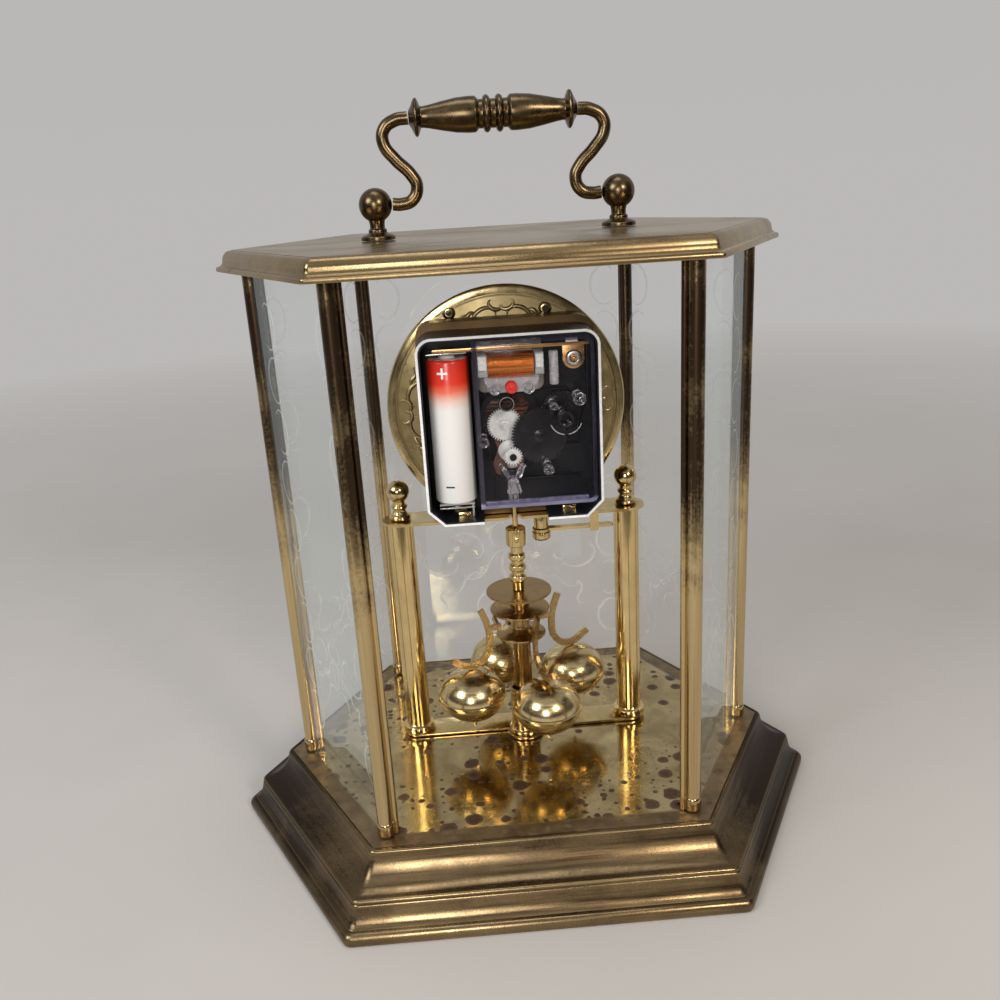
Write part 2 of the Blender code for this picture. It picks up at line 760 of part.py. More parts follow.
def ball_profile():
    count = 5
    upper = []
    for i in range(count):
        turn = pi / 2 - (pi / 2 - ball_seam_turn) * i / (count - 1)
        upper.append((max(ball_radius * cos(turn), ball_hole_radius), ball_half_height * sin(turn)))
    seam = [(ball_radius + ball_seam, ball_seam_height / 2),
            (ball_radius + ball_seam, -ball_seam_height / 2)]
    lower = [(r, -z) for r, z in upper[::-1]]
    lower[-1] = (ball_nub_radius, lower[-1][1])
    nub = -ball_half_height - ball_nub_length
    return [(0, ball_half_height)] + upper + seam + lower + [(ball_nub_radius, nub), (0, nub)]


def pendulum():
    spin = axis("pendulum_spin_axis", (0, 0, 0))
    hang(spin, *pendulum_turned())
    outline = arm_outline()
    profile = ball_profile()
    for i in range(arm_count):
        azimuth = arm_azimuth + 2 * pi * i / arm_count
        arm = flat("pendulum_arm_%d" % (i + 1), outline, arm_thickness, bright_brass, (0, 0, 0),
                   (pi / 2, 0, azimuth))
        centre = (ball_orbit * cos(azimuth), ball_orbit * sin(azimuth), ball_height)
        ball = turned("pendulum_ball_%d" % (i + 1), profile, bright_brass, centre, steps=ball_steps)
        hang(spin, arm, ball)


def guide_cup():
    top = tube_bottom + cup_engagement
    sole = cup_bottom + cup_foot_height
    profile = [(0, sole), (cup_bore, sole), (cup_bore, top), (cup_radius, top), (cup_radius, sole),
               (cup_foot_radius, sole - cup_foot_height / 2), (cup_foot_radius, cup_bottom), (0, cup_bottom)]
    turned("guide_cup", profile, bright_brass)


def dial():
    place_front = (0, dial_rear, dial_height)
    hole = bush_radius + fit_gap
    raised = dial_thickness + chapter_relief
    rim = dial_radius - bezel_wall - fit_gap
    profile = [(hole, dial_thickness), (chapter_inner_radius, dial_thickness), (chapter_inner_radius, raised),
               (chapter_outer_radius, raised), (chapter_outer_radius, dial_thickness),
               (rim, dial_thickness), (rim, 0), (hole, 0)]
    turned("dial_plate", profile, brass, place_front, facing_front, fine_steps, True)
    lip = dial_radius - bezel_lip
    seat = dial_thickness + fit_gap
    profile = [(lip, seat), (lip, bezel_depth * bezel_round_share), (lip + bezel_wall, bezel_depth),
               (dial_radius - bezel_wall, bezel_depth), (dial_radius, bezel_depth * bezel_round_share),
               (dial_radius, -bezel_roll),
               (dial_radius - bezel_wall, -bezel_roll), (dial_radius - bezel_wall, seat)]
    turned("dial_bezel", profile, brass, place_front, facing_front, fine_steps, True)

    nut_place = (0, dial_front - fit_gap - nut_thickness / 2, dial_height)
    nut = rod("dial_nut", nut_radius, nut_thickness, nut_place, brass, facing_front, nut_sides)
    cut(nut, rod("nut_hole", hole, nut_thickness + 2 * cut_overrun, nut_place, None, facing_front))

    back = -movement_front - fit_gap
    front = bezel_rear + fit_gap
    low = platform_top + fit_gap - dial_height
    outline = rounded_outline(spacer_half_width, low, spacer_rise, movement_corner, movement_chamfer)
    spacer = flat_solid("dial_spacer", outline, back - front, brass, (0, (back + front) / 2, dial_height),
                        facing_front)
    inner = rounded_outline(spacer_half_width - spacer_wall, low + spacer_wall, spacer_rise - spacer_wall,
                            movement_corner - spacer_wall, movement_chamfer - spacer_wall / 2)
    hollow = back - spacer_wall - front + cut_overrun
    cut(spacer, flat_solid("spacer_hollow", inner, hollow, None,
                           (0, front - cut_overrun + hollow / 2, dial_height), facing_front))
    cut(spacer, rod("spacer_hole", hole, spacer_wall * 3, (0, back - spacer_wall / 2, dial_height), None,
                    facing_front))


# Upright outline about the dial's centre, with round top corners and bevelled bottom corners
def rounded_outline(half, low, high, corner, chamfer):
    right = arc((half - corner, high - corner), corner, 0, pi / 2, 5)
    left = [(-x, z) for x, z in right[::-1]]
    return [(half, low + chamfer)] + right + left + [(-half, low + chamfer), (-half + chamfer, low),
                                                     (half - chamfer, low)]


def hand_outline(length, angle):
    bored = hand_boss_radius
    right = [(hand_half_width * w, length * o) for o, w in hand_shares]
    start = asin_share(right[0][0], bored)
    ring = arc((0, 0), bored, pi / 2 - start, pi / 2 + start - 2 * pi, 14)[::-1]
    points = [(-x, y) for x, y in right[1:]][::-1] + ring + right[1:]
    return [(x * cos(angle) + y * sin(angle), y * cos(angle) - x * sin(angle)) for x, y in points[::-1]]


def hands():
    hour_y = dial_front - fit_gap - bush_reach - fit_gap - hand_thickness / 2
    minute_y = hour_y - hand_spacing - hand_thickness
    hour = flat_solid("hour_hand", hand_outline(hour_hand_length, hour_angle), hand_thickness, dark_hand,
                      (0, hour_y, dial_height), facing_front)
    pipe_back = case_floor + fit_gap
    flange = pipe_back + wheel_thickness
    front = hour_y - hand_thickness * hand_lap_share
    length = flange - front
    join(hour, rod("hour_pipe", hour_pipe_radius, length, (0, (flange + front) / 2, dial_height), None,
                   facing_front))
    join(hour, rod("hour_wheel", hour_wheel_radius, wheel_thickness,
                   (0, pipe_back + wheel_thickness / 2, dial_height), None, facing_front, hour_wheel_steps))
    cut(hour, rod("hour_bore", hour_pipe_bore, length + 2 * cut_overrun,
                  (0, (flange + front) / 2, dial_height), None, facing_front))
    minute = flat_solid("minute_hand", hand_outline(minute_hand_length, minute_angle), hand_thickness,
                        dark_hand, (0, minute_y, dial_height), facing_front)
    cut(minute, rod("minute_bore", arbor_radius + fit_gap, hand_thickness + 2 * cut_overrun,
                    (0, minute_y, dial_height), None, facing_front))
    return minute_y


def gear_outline(radius, teeth):
    points = []
    for i in range(teeth):
        for share, inward in ((0.0, 0), (0.5, 1)):
            turn = 2 * pi * (i + share) / teeth
            reach = radius - tooth_depth * inward
            points.append((reach * cos(turn), reach * sin(turn)))
    return points


# A toothed wheel on a thin arbor; places along the arbor are distances behind the movement's own zero
def wheel(name, look, side, rise, radius, teeth, back, thin, arbor_front, arbor_back):
    here = (side, back + wheel_thickness / 2, dial_height + rise)
    made = flat_solid(name, gear_outline(radius, teeth), wheel_thickness, look, here, facing_front)
    length = arbor_back - arbor_front
    join(made, rod(name + "_arbor", thin, length, (side, (arbor_back + arbor_front) / 2, dial_height + rise),
                   None, facing_front))
    return made


def wheels(minute_y):
    seat = case_floor + fit_gap
    wheel("centre_wheel", white_plastic, 0, 0, centre_wheel_radius, centre_wheel_teeth, wheel_start,
          arbor_radius, minute_y - hand_thickness * 2, wheel_start + 2 * wheel_thickness)
    third = wheel("third_wheel", black_plastic, third_side, third_rise, third_wheel_radius,
                  third_wheel_teeth, third_wheel_back, third_arbor_radius, seat,
                  third_wheel_back + 3 * wheel_thickness)
    join(third, rod("third_pinion", third_pinion_radius, wheel_thickness,
                    (third_side, wheel_start + wheel_thickness / 2, dial_height + third_rise), None,
                    facing_front))
    wheel("drive_wheel", white_plastic, drive_side, drive_rise, drive_wheel_radius, drive_wheel_teeth,
          drive_wheel_back, drive_arbor_radius, seat, drive_wheel_back + 2 * wheel_thickness)
    knob_front = movement_rear + knob_proud - knob_height
    knob = wheel("setting_knob", black_plastic, knob_side, knob_rise, knob_gear_radius, knob_gear_teeth,
                 wheel_start, knob_arbor_radius, seat, knob_front + knob_height / 2)
    join(knob, rod("knob_head", knob_radius, knob_height,
                   (knob_side, knob_front + knob_height / 2, dial_height + knob_rise), None, facing_front))


def movement_outline(inset):
    return rounded_outline(movement_half_width - inset, inset - movement_bottom, movement_top - inset,
                           movement_corner - inset, movement_chamfer - inset * movement_chamfer_inset_share)


def movement_case():
    depth = movement_rear + movement_front
    middle = (movement_rear - movement_front) / 2
    case = flat_solid("movement_case", movement_outline(0), depth, black_plastic, (0, middle, dial_height),
                      facing_front)
    room = movement_rear - case_floor + cut_overrun
    cut(case, flat_solid("movement_room", movement_outline(movement_wall), room, None,
                         (0, case_floor + room / 2, dial_height), facing_front))
    low = dial_height - movement_bottom
    shelf_depth = shelf_reach - case_floor + movement_wall / 2
    shelf_y = shelf_reach - shelf_depth / 2
    join(case, box("yoke_shelf", (2 * shelf_half_width, shelf_depth, shelf_thickness),
                   (0, shelf_y, low + shelf_rise + shelf_thickness / 2)))
    partition_x = battery_x - battery_radius - partition_gap - partition_thickness / 2
    partition_depth = movement_rear - lid_thickness - fit_gap - case_floor + movement_wall / 2
    partition_height = battery_length
    join(case, box("partition", (partition_thickness, partition_depth, partition_height),
                   (partition_x, case_floor - movement_wall / 2 + partition_depth / 2,
                    battery_bottom + partition_height / 2)))
    bush_front = dial_front - fit_gap - bush_reach
    bush_back = case_floor - movement_wall / 2
    join(case, rod("bush", bush_radius, bush_back - bush_front,
                   (0, (bush_back + bush_front) / 2, dial_height), None, facing_front))
    cut(case, rod("bush_hole", bush_bore, case_floor - bush_front + 2 * cut_overrun,
                  (0, (case_floor + bush_front) / 2, dial_height), None, facing_front))
    cut(case, rod("yoke_hole", yoke_neck_radius + fit_gap, shelf_thickness + 2 * cut_overrun,
                  (0, 0, low + shelf_rise + shelf_thickness / 2)))
    notch_depth = movement_rear - case_floor + cut_overrun
    cut(case, box("rod_notch", (2 * movement_notch, notch_depth, 2 * (movement_wall + cut_overrun)),
                  (0, case_floor + notch_depth / 2, low)))
    slot_height = 2 * (movement_wall + cut_overrun)
    for side, name in ((-1, "left"), (1, "right")):
        cut(case, box("hook_slot_" + name, (hook_width + 2 * fit_gap, hook_thickness + 2 * fit_gap, slot_height),
                      (side * hook_offset, -platform_back - hook_thickness * hook_seat_share, low)))
    for number, side in enumerate(stator_pegs):
        join(case, rod("stator_peg_%d" % (number + 1), stator_peg_radius, stator_front - fit_gap - bush_back,
                       (side, (stator_front - fit_gap + bush_back) / 2,
                        dial_height + stator_rise + stator_height / 4),
                       None, facing_front, small_steps))


def movement_cover():
    left = movement_half_width - movement_wall - fit_gap
    right = battery_x - battery_radius - partition_gap - fit_gap
    high = movement_top - movement_wall - fit_gap
    corner = movement_corner - movement_wall
    outline = [(right, -lid_bottom), (right, high)]
    outline += arc((corner - left, high - corner), corner, pi / 2, pi, 5) + [(-left, -lid_bottom)]
    lid_y = movement_rear - lid_thickness / 2
    lid = flat_solid("movement_cover", outline, lid_thickness, clear_plastic, (0, lid_y, dial_height),
                     facing_front)
    cut(lid, rod("knob_hole", knob_radius + knob_hole_gap, lid_thickness + 2 * cut_overrun,
                 (knob_side, lid_y, dial_height + knob_rise), None, facing_front))


def yoke():
    low = dial_height - movement_bottom + shelf_rise
    head = low + shelf_thickness + fit_gap
    profile = [(0, head + yoke_head_height),
               (yoke_head_radius, head + yoke_head_height * yoke_head_round_share),
               (yoke_head_radius, head), (yoke_neck_radius, head), (yoke_neck_radius, low - fit_gap),
               (yoke_radius, low - fit_gap), (yoke_radius, low - yoke_length), (0, low - yoke_length)]
    hang(bpy.data.objects["pendulum_spin_axis"], turned("suspension_yoke", profile, clear_plastic,
                                                        steps=small_steps))


def battery_and_contacts():
    nub = battery_length + battery_cap_height
    ease = battery_radius * battery_ease_share
    profile = [(0, nub), (battery_cap_radius, nub), (battery_cap_radius, battery_length),
               (battery_radius - ease, battery_length), (battery_radius, battery_length - ease),
               (battery_radius, ease), (battery_radius - ease, 0), (0, 0)]
    turned("battery", profile, battery_skin, (battery_x, battery_y, battery_bottom))
    plate_y = battery_y
    high = battery_bottom + nub + fit_gap
    plate = box("contact_positive", (2 * contact_half_width, contact_depth, contact_thickness),
                (battery_x, plate_y, high + contact_thickness / 2), steel)
    lead_end = battery_x + contact_half_width * lead_lap_share
    length = lead_reach + lead_end
    join(plate, box("contact_lead", (length, contact_thickness, lead_height),
                    (lead_end - length / 2, plate_y + contact_depth / 2 - contact_thickness,
                     high + contact_thickness * lead_lap_share + lead_height / 2)))
    low = battery_bottom - fit_gap - contact_thickness
    plate = box("contact_negative", (2 * contact_half_width, contact_depth, contact_thickness),
                (battery_x, plate_y, low + contact_thickness / 2), steel)
    foot = dial_height - movement_bottom + movement_wall + fit_gap
    top = low + contact_thickness / 2
    join(plate, box("contact_foot", (contact_thickness, contact_depth * contact_foot_share, top - foot),
                    (battery_x - contact_half_width + contact_thickness, plate_y, (top + foot) / 2)))


def coil():
    height = dial_height + coil_rise
    centre_radius = coil_radius - coil_wire_radius
    core = centre_radius - coil_wire_radius - fit_gap
    flange = bobbin_flange_thickness
    profile = [(0, bobbin_end), (bobbin_flange_radius, bobbin_end),
               (bobbin_flange_radius, bobbin_end - flange),
               (core, bobbin_end - flange), (core, bobbin_start + flange),
               (bobbin_flange_radius, bobbin_start + flange), (bobbin_flange_radius, bobbin_start),
               (0, bobbin_start)]
    turned("coil_bobbin", profile, white_plastic, (0, coil_depth, height), (0, pi / 2, 0))

    pitch = (coil_end - coil_start - 2 * coil_wire_radius) / coil_loops
    points = []
    for i in range(coil_loops * coil_loop_points + 1):
        turn = 2 * pi * i / coil_loop_points
        points.append(Vector((coil_start + coil_wire_radius + pitch * turn / (2 * pi),
                              centre_radius * cos(turn), centre_radius * sin(turn))))
    lead = Vector((0, 0, 2 * coil_wire_radius))
    points = [points[0] - lead] + points + [points[-1] + lead]
    gap = min((points[i] - points[k]).length for i in range(0, 3 * coil_loop_points)
              for k in range(i + coil_loop_points // 2, 5 * coil_loop_points))
    print("least gap between the coil's turns, mm: %.3f" % ((gap - 2 * coil_wire_radius) * 1000))
    curve = bpy.data.curves.new("coil_winding", "CURVE")
    curve.dimensions = "3D"
    curve.bevel_depth = coil_wire_radius
    curve.bevel_resolution = 1
    curve.use_fill_caps = True
    spline = curve.splines.new("POLY")
    spline.points.add(len(points) - 1)
    for point, spot in zip(spline.points, points):
        point.co = (*spot, 1)
    place("coil_winding", curve, copper, (0, coil_depth, height))


def stator():
    low = stator_rise
    high = stator_rise + stator_height
    outline = [(bobbin_end, low), (bobbin_end, high), (bobbin_start, high), (bobbin_start, low)]
    flat("stator_plate", outline, stator_thickness, steel,
         (0, stator_front + stator_thickness / 2, dial_height), facing_front)


base()
roof()
posts()
panes()
handle_posts()
handle()
stand()
lever()
pendulum()
guide_cup()
dial()
wheels(hands())
movement_case()
movement_cover()
yoke()
battery_and_contacts()
coil()
stator()
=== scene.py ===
from math import atan2, cos, hypot, pi, radians, sin, sqrt
import bmesh
import bpy
from mathutils import Matrix, Vector


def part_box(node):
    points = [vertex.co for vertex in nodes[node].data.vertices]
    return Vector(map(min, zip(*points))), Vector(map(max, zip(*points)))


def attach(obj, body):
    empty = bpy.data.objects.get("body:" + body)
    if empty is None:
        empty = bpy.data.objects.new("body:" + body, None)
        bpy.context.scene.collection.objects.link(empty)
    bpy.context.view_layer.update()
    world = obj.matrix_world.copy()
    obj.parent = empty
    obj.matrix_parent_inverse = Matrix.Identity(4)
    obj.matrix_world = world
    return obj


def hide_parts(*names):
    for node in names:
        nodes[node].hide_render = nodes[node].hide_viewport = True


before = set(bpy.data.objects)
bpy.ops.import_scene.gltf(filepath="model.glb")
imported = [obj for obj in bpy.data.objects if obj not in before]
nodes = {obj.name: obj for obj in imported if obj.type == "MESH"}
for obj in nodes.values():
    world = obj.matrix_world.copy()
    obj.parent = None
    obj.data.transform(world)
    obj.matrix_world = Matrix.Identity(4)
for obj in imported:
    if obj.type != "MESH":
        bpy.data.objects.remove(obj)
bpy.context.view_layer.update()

print("frame loaded,", len(nodes), "nodes")

mm = 0.001
weld = 0.000002  # points closer than this are joined
faceFront = (pi / 2, 0, 0)  # a turned piece whose top looks at the dial side
faceRear = (-pi / 2, 0, 0)  # one whose top looks at the open side
alongX = (0, pi / 2, 0)


# sizes written in millimetres
def sized(points):
    return [tuple(v * mm for v in point) for point in points]


# places read from the frame
def low(name, axis):
    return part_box(name)[0][axis]


def high(name, axis):
    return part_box(name)[1][axis]


def middle(name, axis):
    return (low(name, axis) + high(name, axis)) / 2


def size(name, axis):
    return high(name, axis) - low(name, axis)


floorTop = high("floor_plate", 2)
roofLow = low("roof", 2)
dialZ = middle("dial_bezel", 2)
# half sizes of the hexagon through the post axes: front edge, depth, side corner
caseFront = {"edge": 50.7 * mm, "depth": 55.0 * mm, "width": 81.5 * mm}


# a material, with short ways to add its nodes
class Shader:
    def __init__(self, name):
        self.mat = bpy.data.materials.new(name)
        self.mat.use_nodes = True
        self.tree = self.mat.node_tree
        self.bsdf = self.tree.nodes["Principled BSDF"]

    def add(self, kind, **settings):
        node = self.tree.nodes.new(kind)
        for key, value in settings.items():
            setattr(node, key, value)
        return node

    def link(self, source, target):
        self.tree.links.new(source, target)

    def feed(self, socket, value):
        if isinstance(value, bpy.types.NodeSocket):
            self.link(value, socket)
        else:
            socket.default_value = value

    def set(self, **values):
        for key, value in values.items():
            self.bsdf.inputs[key.replace("_", " ")].default_value = value

    def coords(self, scale=(1, 1, 1), turn=(0, 0, 0)):
        spot = self.add("ShaderNodeTexCoord")
        mapping = self.add("ShaderNodeMapping")
        mapping.inputs["Scale"].default_value = scale
        mapping.inputs["Rotation"].default_value = turn
        self.link(spot.outputs["Object"], mapping.inputs["Vector"])
        return mapping.outputs["Vector"]

    def noise(self, where, scale, detail=4, rough=0.55, lumps=0.0):
        node = self.add("ShaderNodeTexNoise")
        node.inputs["Scale"].default_value = scale
        node.inputs["Detail"].default_value = detail
        node.inputs["Roughness"].default_value = rough
        node.inputs["Distortion"].default_value = lumps
        self.link(where, node.inputs["Vector"])
        return node.outputs["Fac"]

    def cells(self, where, scale):
        node = self.add("ShaderNodeTexVoronoi", voronoi_dimensions="2D")
        node.inputs["Scale"].default_value = scale
        node.inputs["Randomness"].default_value = 0.72
        self.link(where, node.inputs["Vector"])
        return node

    def ramp(self, fac, stops):
        node = self.add("ShaderNodeValToRGB")
        bar = node.color_ramp
        while len(bar.elements) < len(stops):
            bar.elements.new(0.5)
        for element, (place, colour) in zip(bar.elements, stops):
            element.position = place
            element.color = colour if len(colour) == 4 else (*colour, 1)
        self.link(fac, node.inputs["Fac"])
        return node.outputs["Color"]

    def mix(self, fac, first, second):
        node = self.add("ShaderNodeMix", data_type="RGBA", blend_type="MIX")
        self.feed(node.inputs["Factor"], fac)
        self.feed(node.inputs["A"], first)
        self.feed(node.inputs["B"], second)
        return node.outputs["Result"]

    def maths(self, operation, first, second=0.0, clamp=False):
        node = self.add("ShaderNodeMath", operation=operation, use_clamp=clamp)
        self.feed(node.inputs[0], first)
        self.feed(node.inputs[1], second)
        return node.outputs["Value"]

    def spread(self, value, fromLow, fromHigh, toLow=0.0, toHigh=1.0):
        node = self.add("ShaderNodeMapRange")
        self.feed(node.inputs["Value"], value)
        node.inputs["From Min"].default_value = fromLow
        node.inputs["From Max"].default_value = fromHigh
        node.inputs["To Min"].default_value = toLow
        node.inputs["To Max"].default_value = toHigh
        return node.outputs["Result"]

    def axis(self, letter):
        spot = self.add("ShaderNodeTexCoord")
        split = self.add("ShaderNodeSeparateXYZ")
        self.link(spot.outputs["Object"], split.inputs["Vector"])
        return split.outputs[letter]

    def bump(self, height, strength, distance):
        node = self.add("ShaderNodeBump")
        node.inputs["Strength"].default_value = strength
        node.inputs["Distance"].default_value = distance
        self.link(height, node.inputs["Height"])
        self.link(node.outputs["Normal"], self.bsdf.inputs["Normal"])

    def colour(self, value):
        self.feed(self.bsdf.inputs["Base Color"], value)

    def roughness(self, value):
        self.feed(self.bsdf.inputs["Roughness"], value)


def dressNode(name, mat):
    data = nodes[name].data
    data.materials.clear()
    data.materials.append(mat)


# small bevels on a node's own mesh, so that its edges catch the light
def easeNode(name, width):
    ease = nodes[name].modifiers.new("easedEdges", "BEVEL")
    ease.width = width
    ease.segments = 2
    ease.limit_method = "ANGLE"


# a piece gets its finish, its body and the nodes it stands for
def settle(obj, mat, body, *stands):
    obj.data.materials.clear()
    obj.data.materials.append(mat)
    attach(obj, body)
    if stands:
        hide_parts(*stands)


def putObject(name, data, place=(0, 0, 0), turn=(0, 0, 0)):
    obj = bpy.data.objects.new(name, data)
    obj.location = place
    obj.rotation_euler = turn
    bpy.context.scene.collection.objects.link(obj)
    return obj


def meshFrom(name, bm, sharp=0.6, smooth=True):
    bmesh.ops.recalc_face_normals(bm, faces=bm.faces)
    mesh = bpy.data.meshes.new(name)
    bm.to_mesh(mesh)
    bm.free()
    if smooth:
        mesh.shade_smooth()
        mesh.set_sharp_from_angle(angle=sharp)
    return mesh


# faces between each loop and its partner, all the way round
def skinLoops(bm, pairs):
    for first, second in pairs:
        for i in range(len(first)):
            k = (i + 1) % len(first)
            bm.faces.new((first[i], first[k], second[k], second[i]))


# a profile whose corners are eased so that they catch the light
def easeCorners(profile, ease, closed=False):
    count = len(profile)
    eased = []
    for i, point in enumerate(profile):
        if not closed and i in (0, count - 1):
            eased.append(point)
            continue
        here = Vector(point)
        before = Vector(profile[i - 1]) - here
        after = Vector(profile[(i + 1) % count]) - here
        if before.length < 1e-9 or after.length < 1e-9 or abs(before.angle(after) - pi) < 0.35:
            eased.append(point)
            continue
        cut = min(ease, before.length * 0.45, after.length * 0.45)
        first = here + before.normalized() * cut
        last = here + after.normalized() * cut
        for step in range(4):
            t = step / 3
            bend = first * (1 - t) ** 2 + here * (2 * t * (1 - t)) + last * t ** 2
            eased.append(tuple(bend))
    return eased


# a turned piece from (radius, height) points; a ring's profile is closed
def turned(name, profile, mat, body, place=(0, 0, 0), turn=(0, 0, 0), steps=64, ease=0.0, ring=False,
           stands=()):
    if ease:
        profile = easeCorners(profile, ease, ring)
    bm = bmesh.new()
    verts = [bm.verts.new((r, 0, z)) for r, z in profile]
    pairs = list(zip(verts, verts[1:]))
    if ring:
        pairs.append((verts[-1], verts[0]))
    edges = [bm.edges.new(pair) for pair in pairs]
    bmesh.ops.spin(bm, geom=verts + edges, angle=2 * pi, steps=steps, axis=(0, 0, 1), cent=(0, 0, 0))
    bmesh.ops.remove_doubles(bm, verts=bm.verts, dist=weld)
    settle(putObject(name, meshFrom(name, bm, 0.7), place, turn), mat, body, *stands)


# a flat plate from an outline, with small rounded edges
def plate(name, outline, thick, mat, body, place=(0, 0, 0), turn=(0, 0, 0), edge=0.0, holes=(), stands=()):
    curve = bpy.data.curves.new(name, "CURVE")
    curve.dimensions = "2D"
    curve.fill_mode = "BOTH"
    curve.extrude = thick / 2 - edge
    curve.bevel_depth = edge
    curve.bevel_resolution = 2
    curve.offset = -edge
    for loop in (outline, *holes):
        spline = curve.splines.new("POLY")
        spline.points.add(len(loop) - 1)
        for point, (x, y) in zip(spline.points, loop):
            point.co = (x, y, 0, 1)
        spline.use_cyclic_u = True
    helper = putObject(name, curve)
    bpy.context.view_layer.update()
    mesh = bpy.data.meshes.new_from_object(helper.evaluated_get(bpy.context.evaluated_depsgraph_get()))
    bpy.data.objects.remove(helper)
    bm = bmesh.new()
    bm.from_mesh(mesh)
    bmesh.ops.remove_doubles(bm, verts=bm.verts, dist=weld)
    bpy.data.meshes.remove(mesh)
    obj = putObject(name, meshFrom(name, bm, 0.4), place, turn)
    settle(obj, mat, body, *stands)


# a round rod along a line
def tube(name, points, radius, mat, body, sides=6, smooth=True, stands=()):
    curve = bpy.data.curves.new(name, "CURVE")
    curve.dimensions = "3D"
    curve.bevel_depth = radius
    curve.bevel_resolution = sides
    curve.use_fill_caps = True
    curve.resolution_u = 8
    if smooth:
        spline = curve.splines.new("BEZIER")
        spline.bezier_points.add(len(points) - 1)
        for point, spot in zip(spline.bezier_points, points):
            point.co = spot
            point.handle_left_type = "AUTO"
            point.handle_right_type = "AUTO"
    else:
        spline = curve.splines.new("POLY")
        spline.points.add(len(points) - 1)
        for point, spot in zip(spline.points, points):
            point.co = (*spot, 1)
    settle(putObject(name, curve), mat, body, *stands)


# a block with rounded edges
def block(name, size3, place, mat, body, edge, turn=(0, 0, 0), stands=()):
    bm = bmesh.new()
    bmesh.ops.create_cube(bm, size=1)
    bmesh.ops.scale(bm, vec=size3, verts=bm.verts)
    if edge:
        bmesh.ops.bevel(bm, geom=bm.edges[:], offset=edge, segments=3, profile=0.5, affect="EDGES")
    settle(putObject(name, meshFrom(name, bm, 0.9), place, turn), mat, body, *stands)


def arc(x, y, radius, start, end, count):
    return [(x + radius * cos(start + (end - start) * i / count),
             y + radius * sin(start + (end - start) * i / count)) for i in range(count + 1)]


# finishes: metal with fine grain, clouded by tarnish
def brassShader(name, base, dark, rough, grain, grainScale, tarnish, spotScale, lift):
    sh = Shader(name)
    sh.set(Metallic=1.0)
    fine = sh.noise(sh.coords(grainScale), 1.0, 6, 0.6)
    cloud = sh.noise(sh.coords(), spotScale, 5, 0.6, 0.4)
    veil = sh.spread(cloud, 0.42, 0.72)
    body = sh.mix(sh.maths("MULTIPLY", veil, tarnish, True), (*base, 1), (*dark, 1))
    body = sh.mix(sh.spread(fine, 0.35, 0.65, 0.0, grain), body, (*[c * 1.25 for c in base], 1))
    sh.colour(body)
    tone = sh.maths("ADD", fine, sh.maths("MULTIPLY", veil, tarnish))
    sh.roughness(sh.spread(tone, 0.3, 1.1, rough, rough + 0.22))
    sh.bump(fine, lift, 0.0002)
    return sh.mat


# brighter colour for convex edges: partly wear, partly a painted highlight where edges catch the light
wornEdgeHighlight = (0.74, 0.57, 0.30, 1)
# darker colour for concave creases
creaseDarkColour = (0.035, 0.02, 0.012, 1)


# patina: speckled brown over the metal, rubbed brighter in bands and streaks; convex edges made brighter as
# wear and as painted highlight, concave creases darker, and the brown thickened along one axis as painted
# shade
def patinaShader(name, clean, worn, brown, rough, cover, along=(26, 26, 900), speckScale=1500, patchScale=24,
                 paintedShadeAxis=None, reach=(0.046, 0.088, 0.34), wornEdgeHighlightAmount=0.7):
    sh = Shader(name)
    sh.set(Metallic=1.0)
    where = sh.coords()
    patch = sh.noise(where, patchScale, 6, 0.62, 0.5)
    streak = sh.noise(sh.coords(along), 1.0, 5, 0.62)
    speck = sh.noise(where, speckScale, 3, 0.7)
    veil = sh.maths("ADD", sh.maths("MULTIPLY", patch, 0.95), sh.maths("MULTIPLY", streak, 0.65))
    veil = sh.maths("ADD", veil, sh.maths("MULTIPLY", speck, 0.40))
    # the brown thickens toward one end of the chosen axis: painted shade, laid over the patina
    if paintedShadeAxis:
        outward = sh.axis(paintedShadeAxis)
        if paintedShadeAxis == "X":
            outward = sh.maths("ABSOLUTE", outward)
        ends = sh.spread(outward, reach[0], reach[1], 0.0, reach[2])
        veil = sh.maths("ADD", veil, ends)
    veil = sh.spread(veil, 1.30 - cover, 1.62 - cover * 0.6)
    body = sh.ramp(streak, [(0.34, clean), (0.66, worn)])
    body = sh.mix(veil, body, (*brown, 1))
    edge = sh.add("ShaderNodeNewGeometry").outputs["Pointiness"]
    # convex edges turn brighter: partly wear, partly painted highlight
    body = sh.mix(sh.maths("MULTIPLY", sh.spread(edge, 0.515, 0.60), wornEdgeHighlightAmount, True), body, wornEdgeHighlight)
    # concave creases turn darker
    body = sh.mix(sh.maths("MULTIPLY", sh.spread(edge, 0.495, 0.45), 0.65, True), body, creaseDarkColour)
    sh.colour(body)
    sh.roughness(sh.spread(sh.maths("ADD", veil, streak), 0.3, 1.6, rough, rough + 0.24))
    sh.bump(sh.maths("ADD", streak, sh.maths("MULTIPLY", speck, 0.15)), 0.05, 0.0002)
    return sh.mat


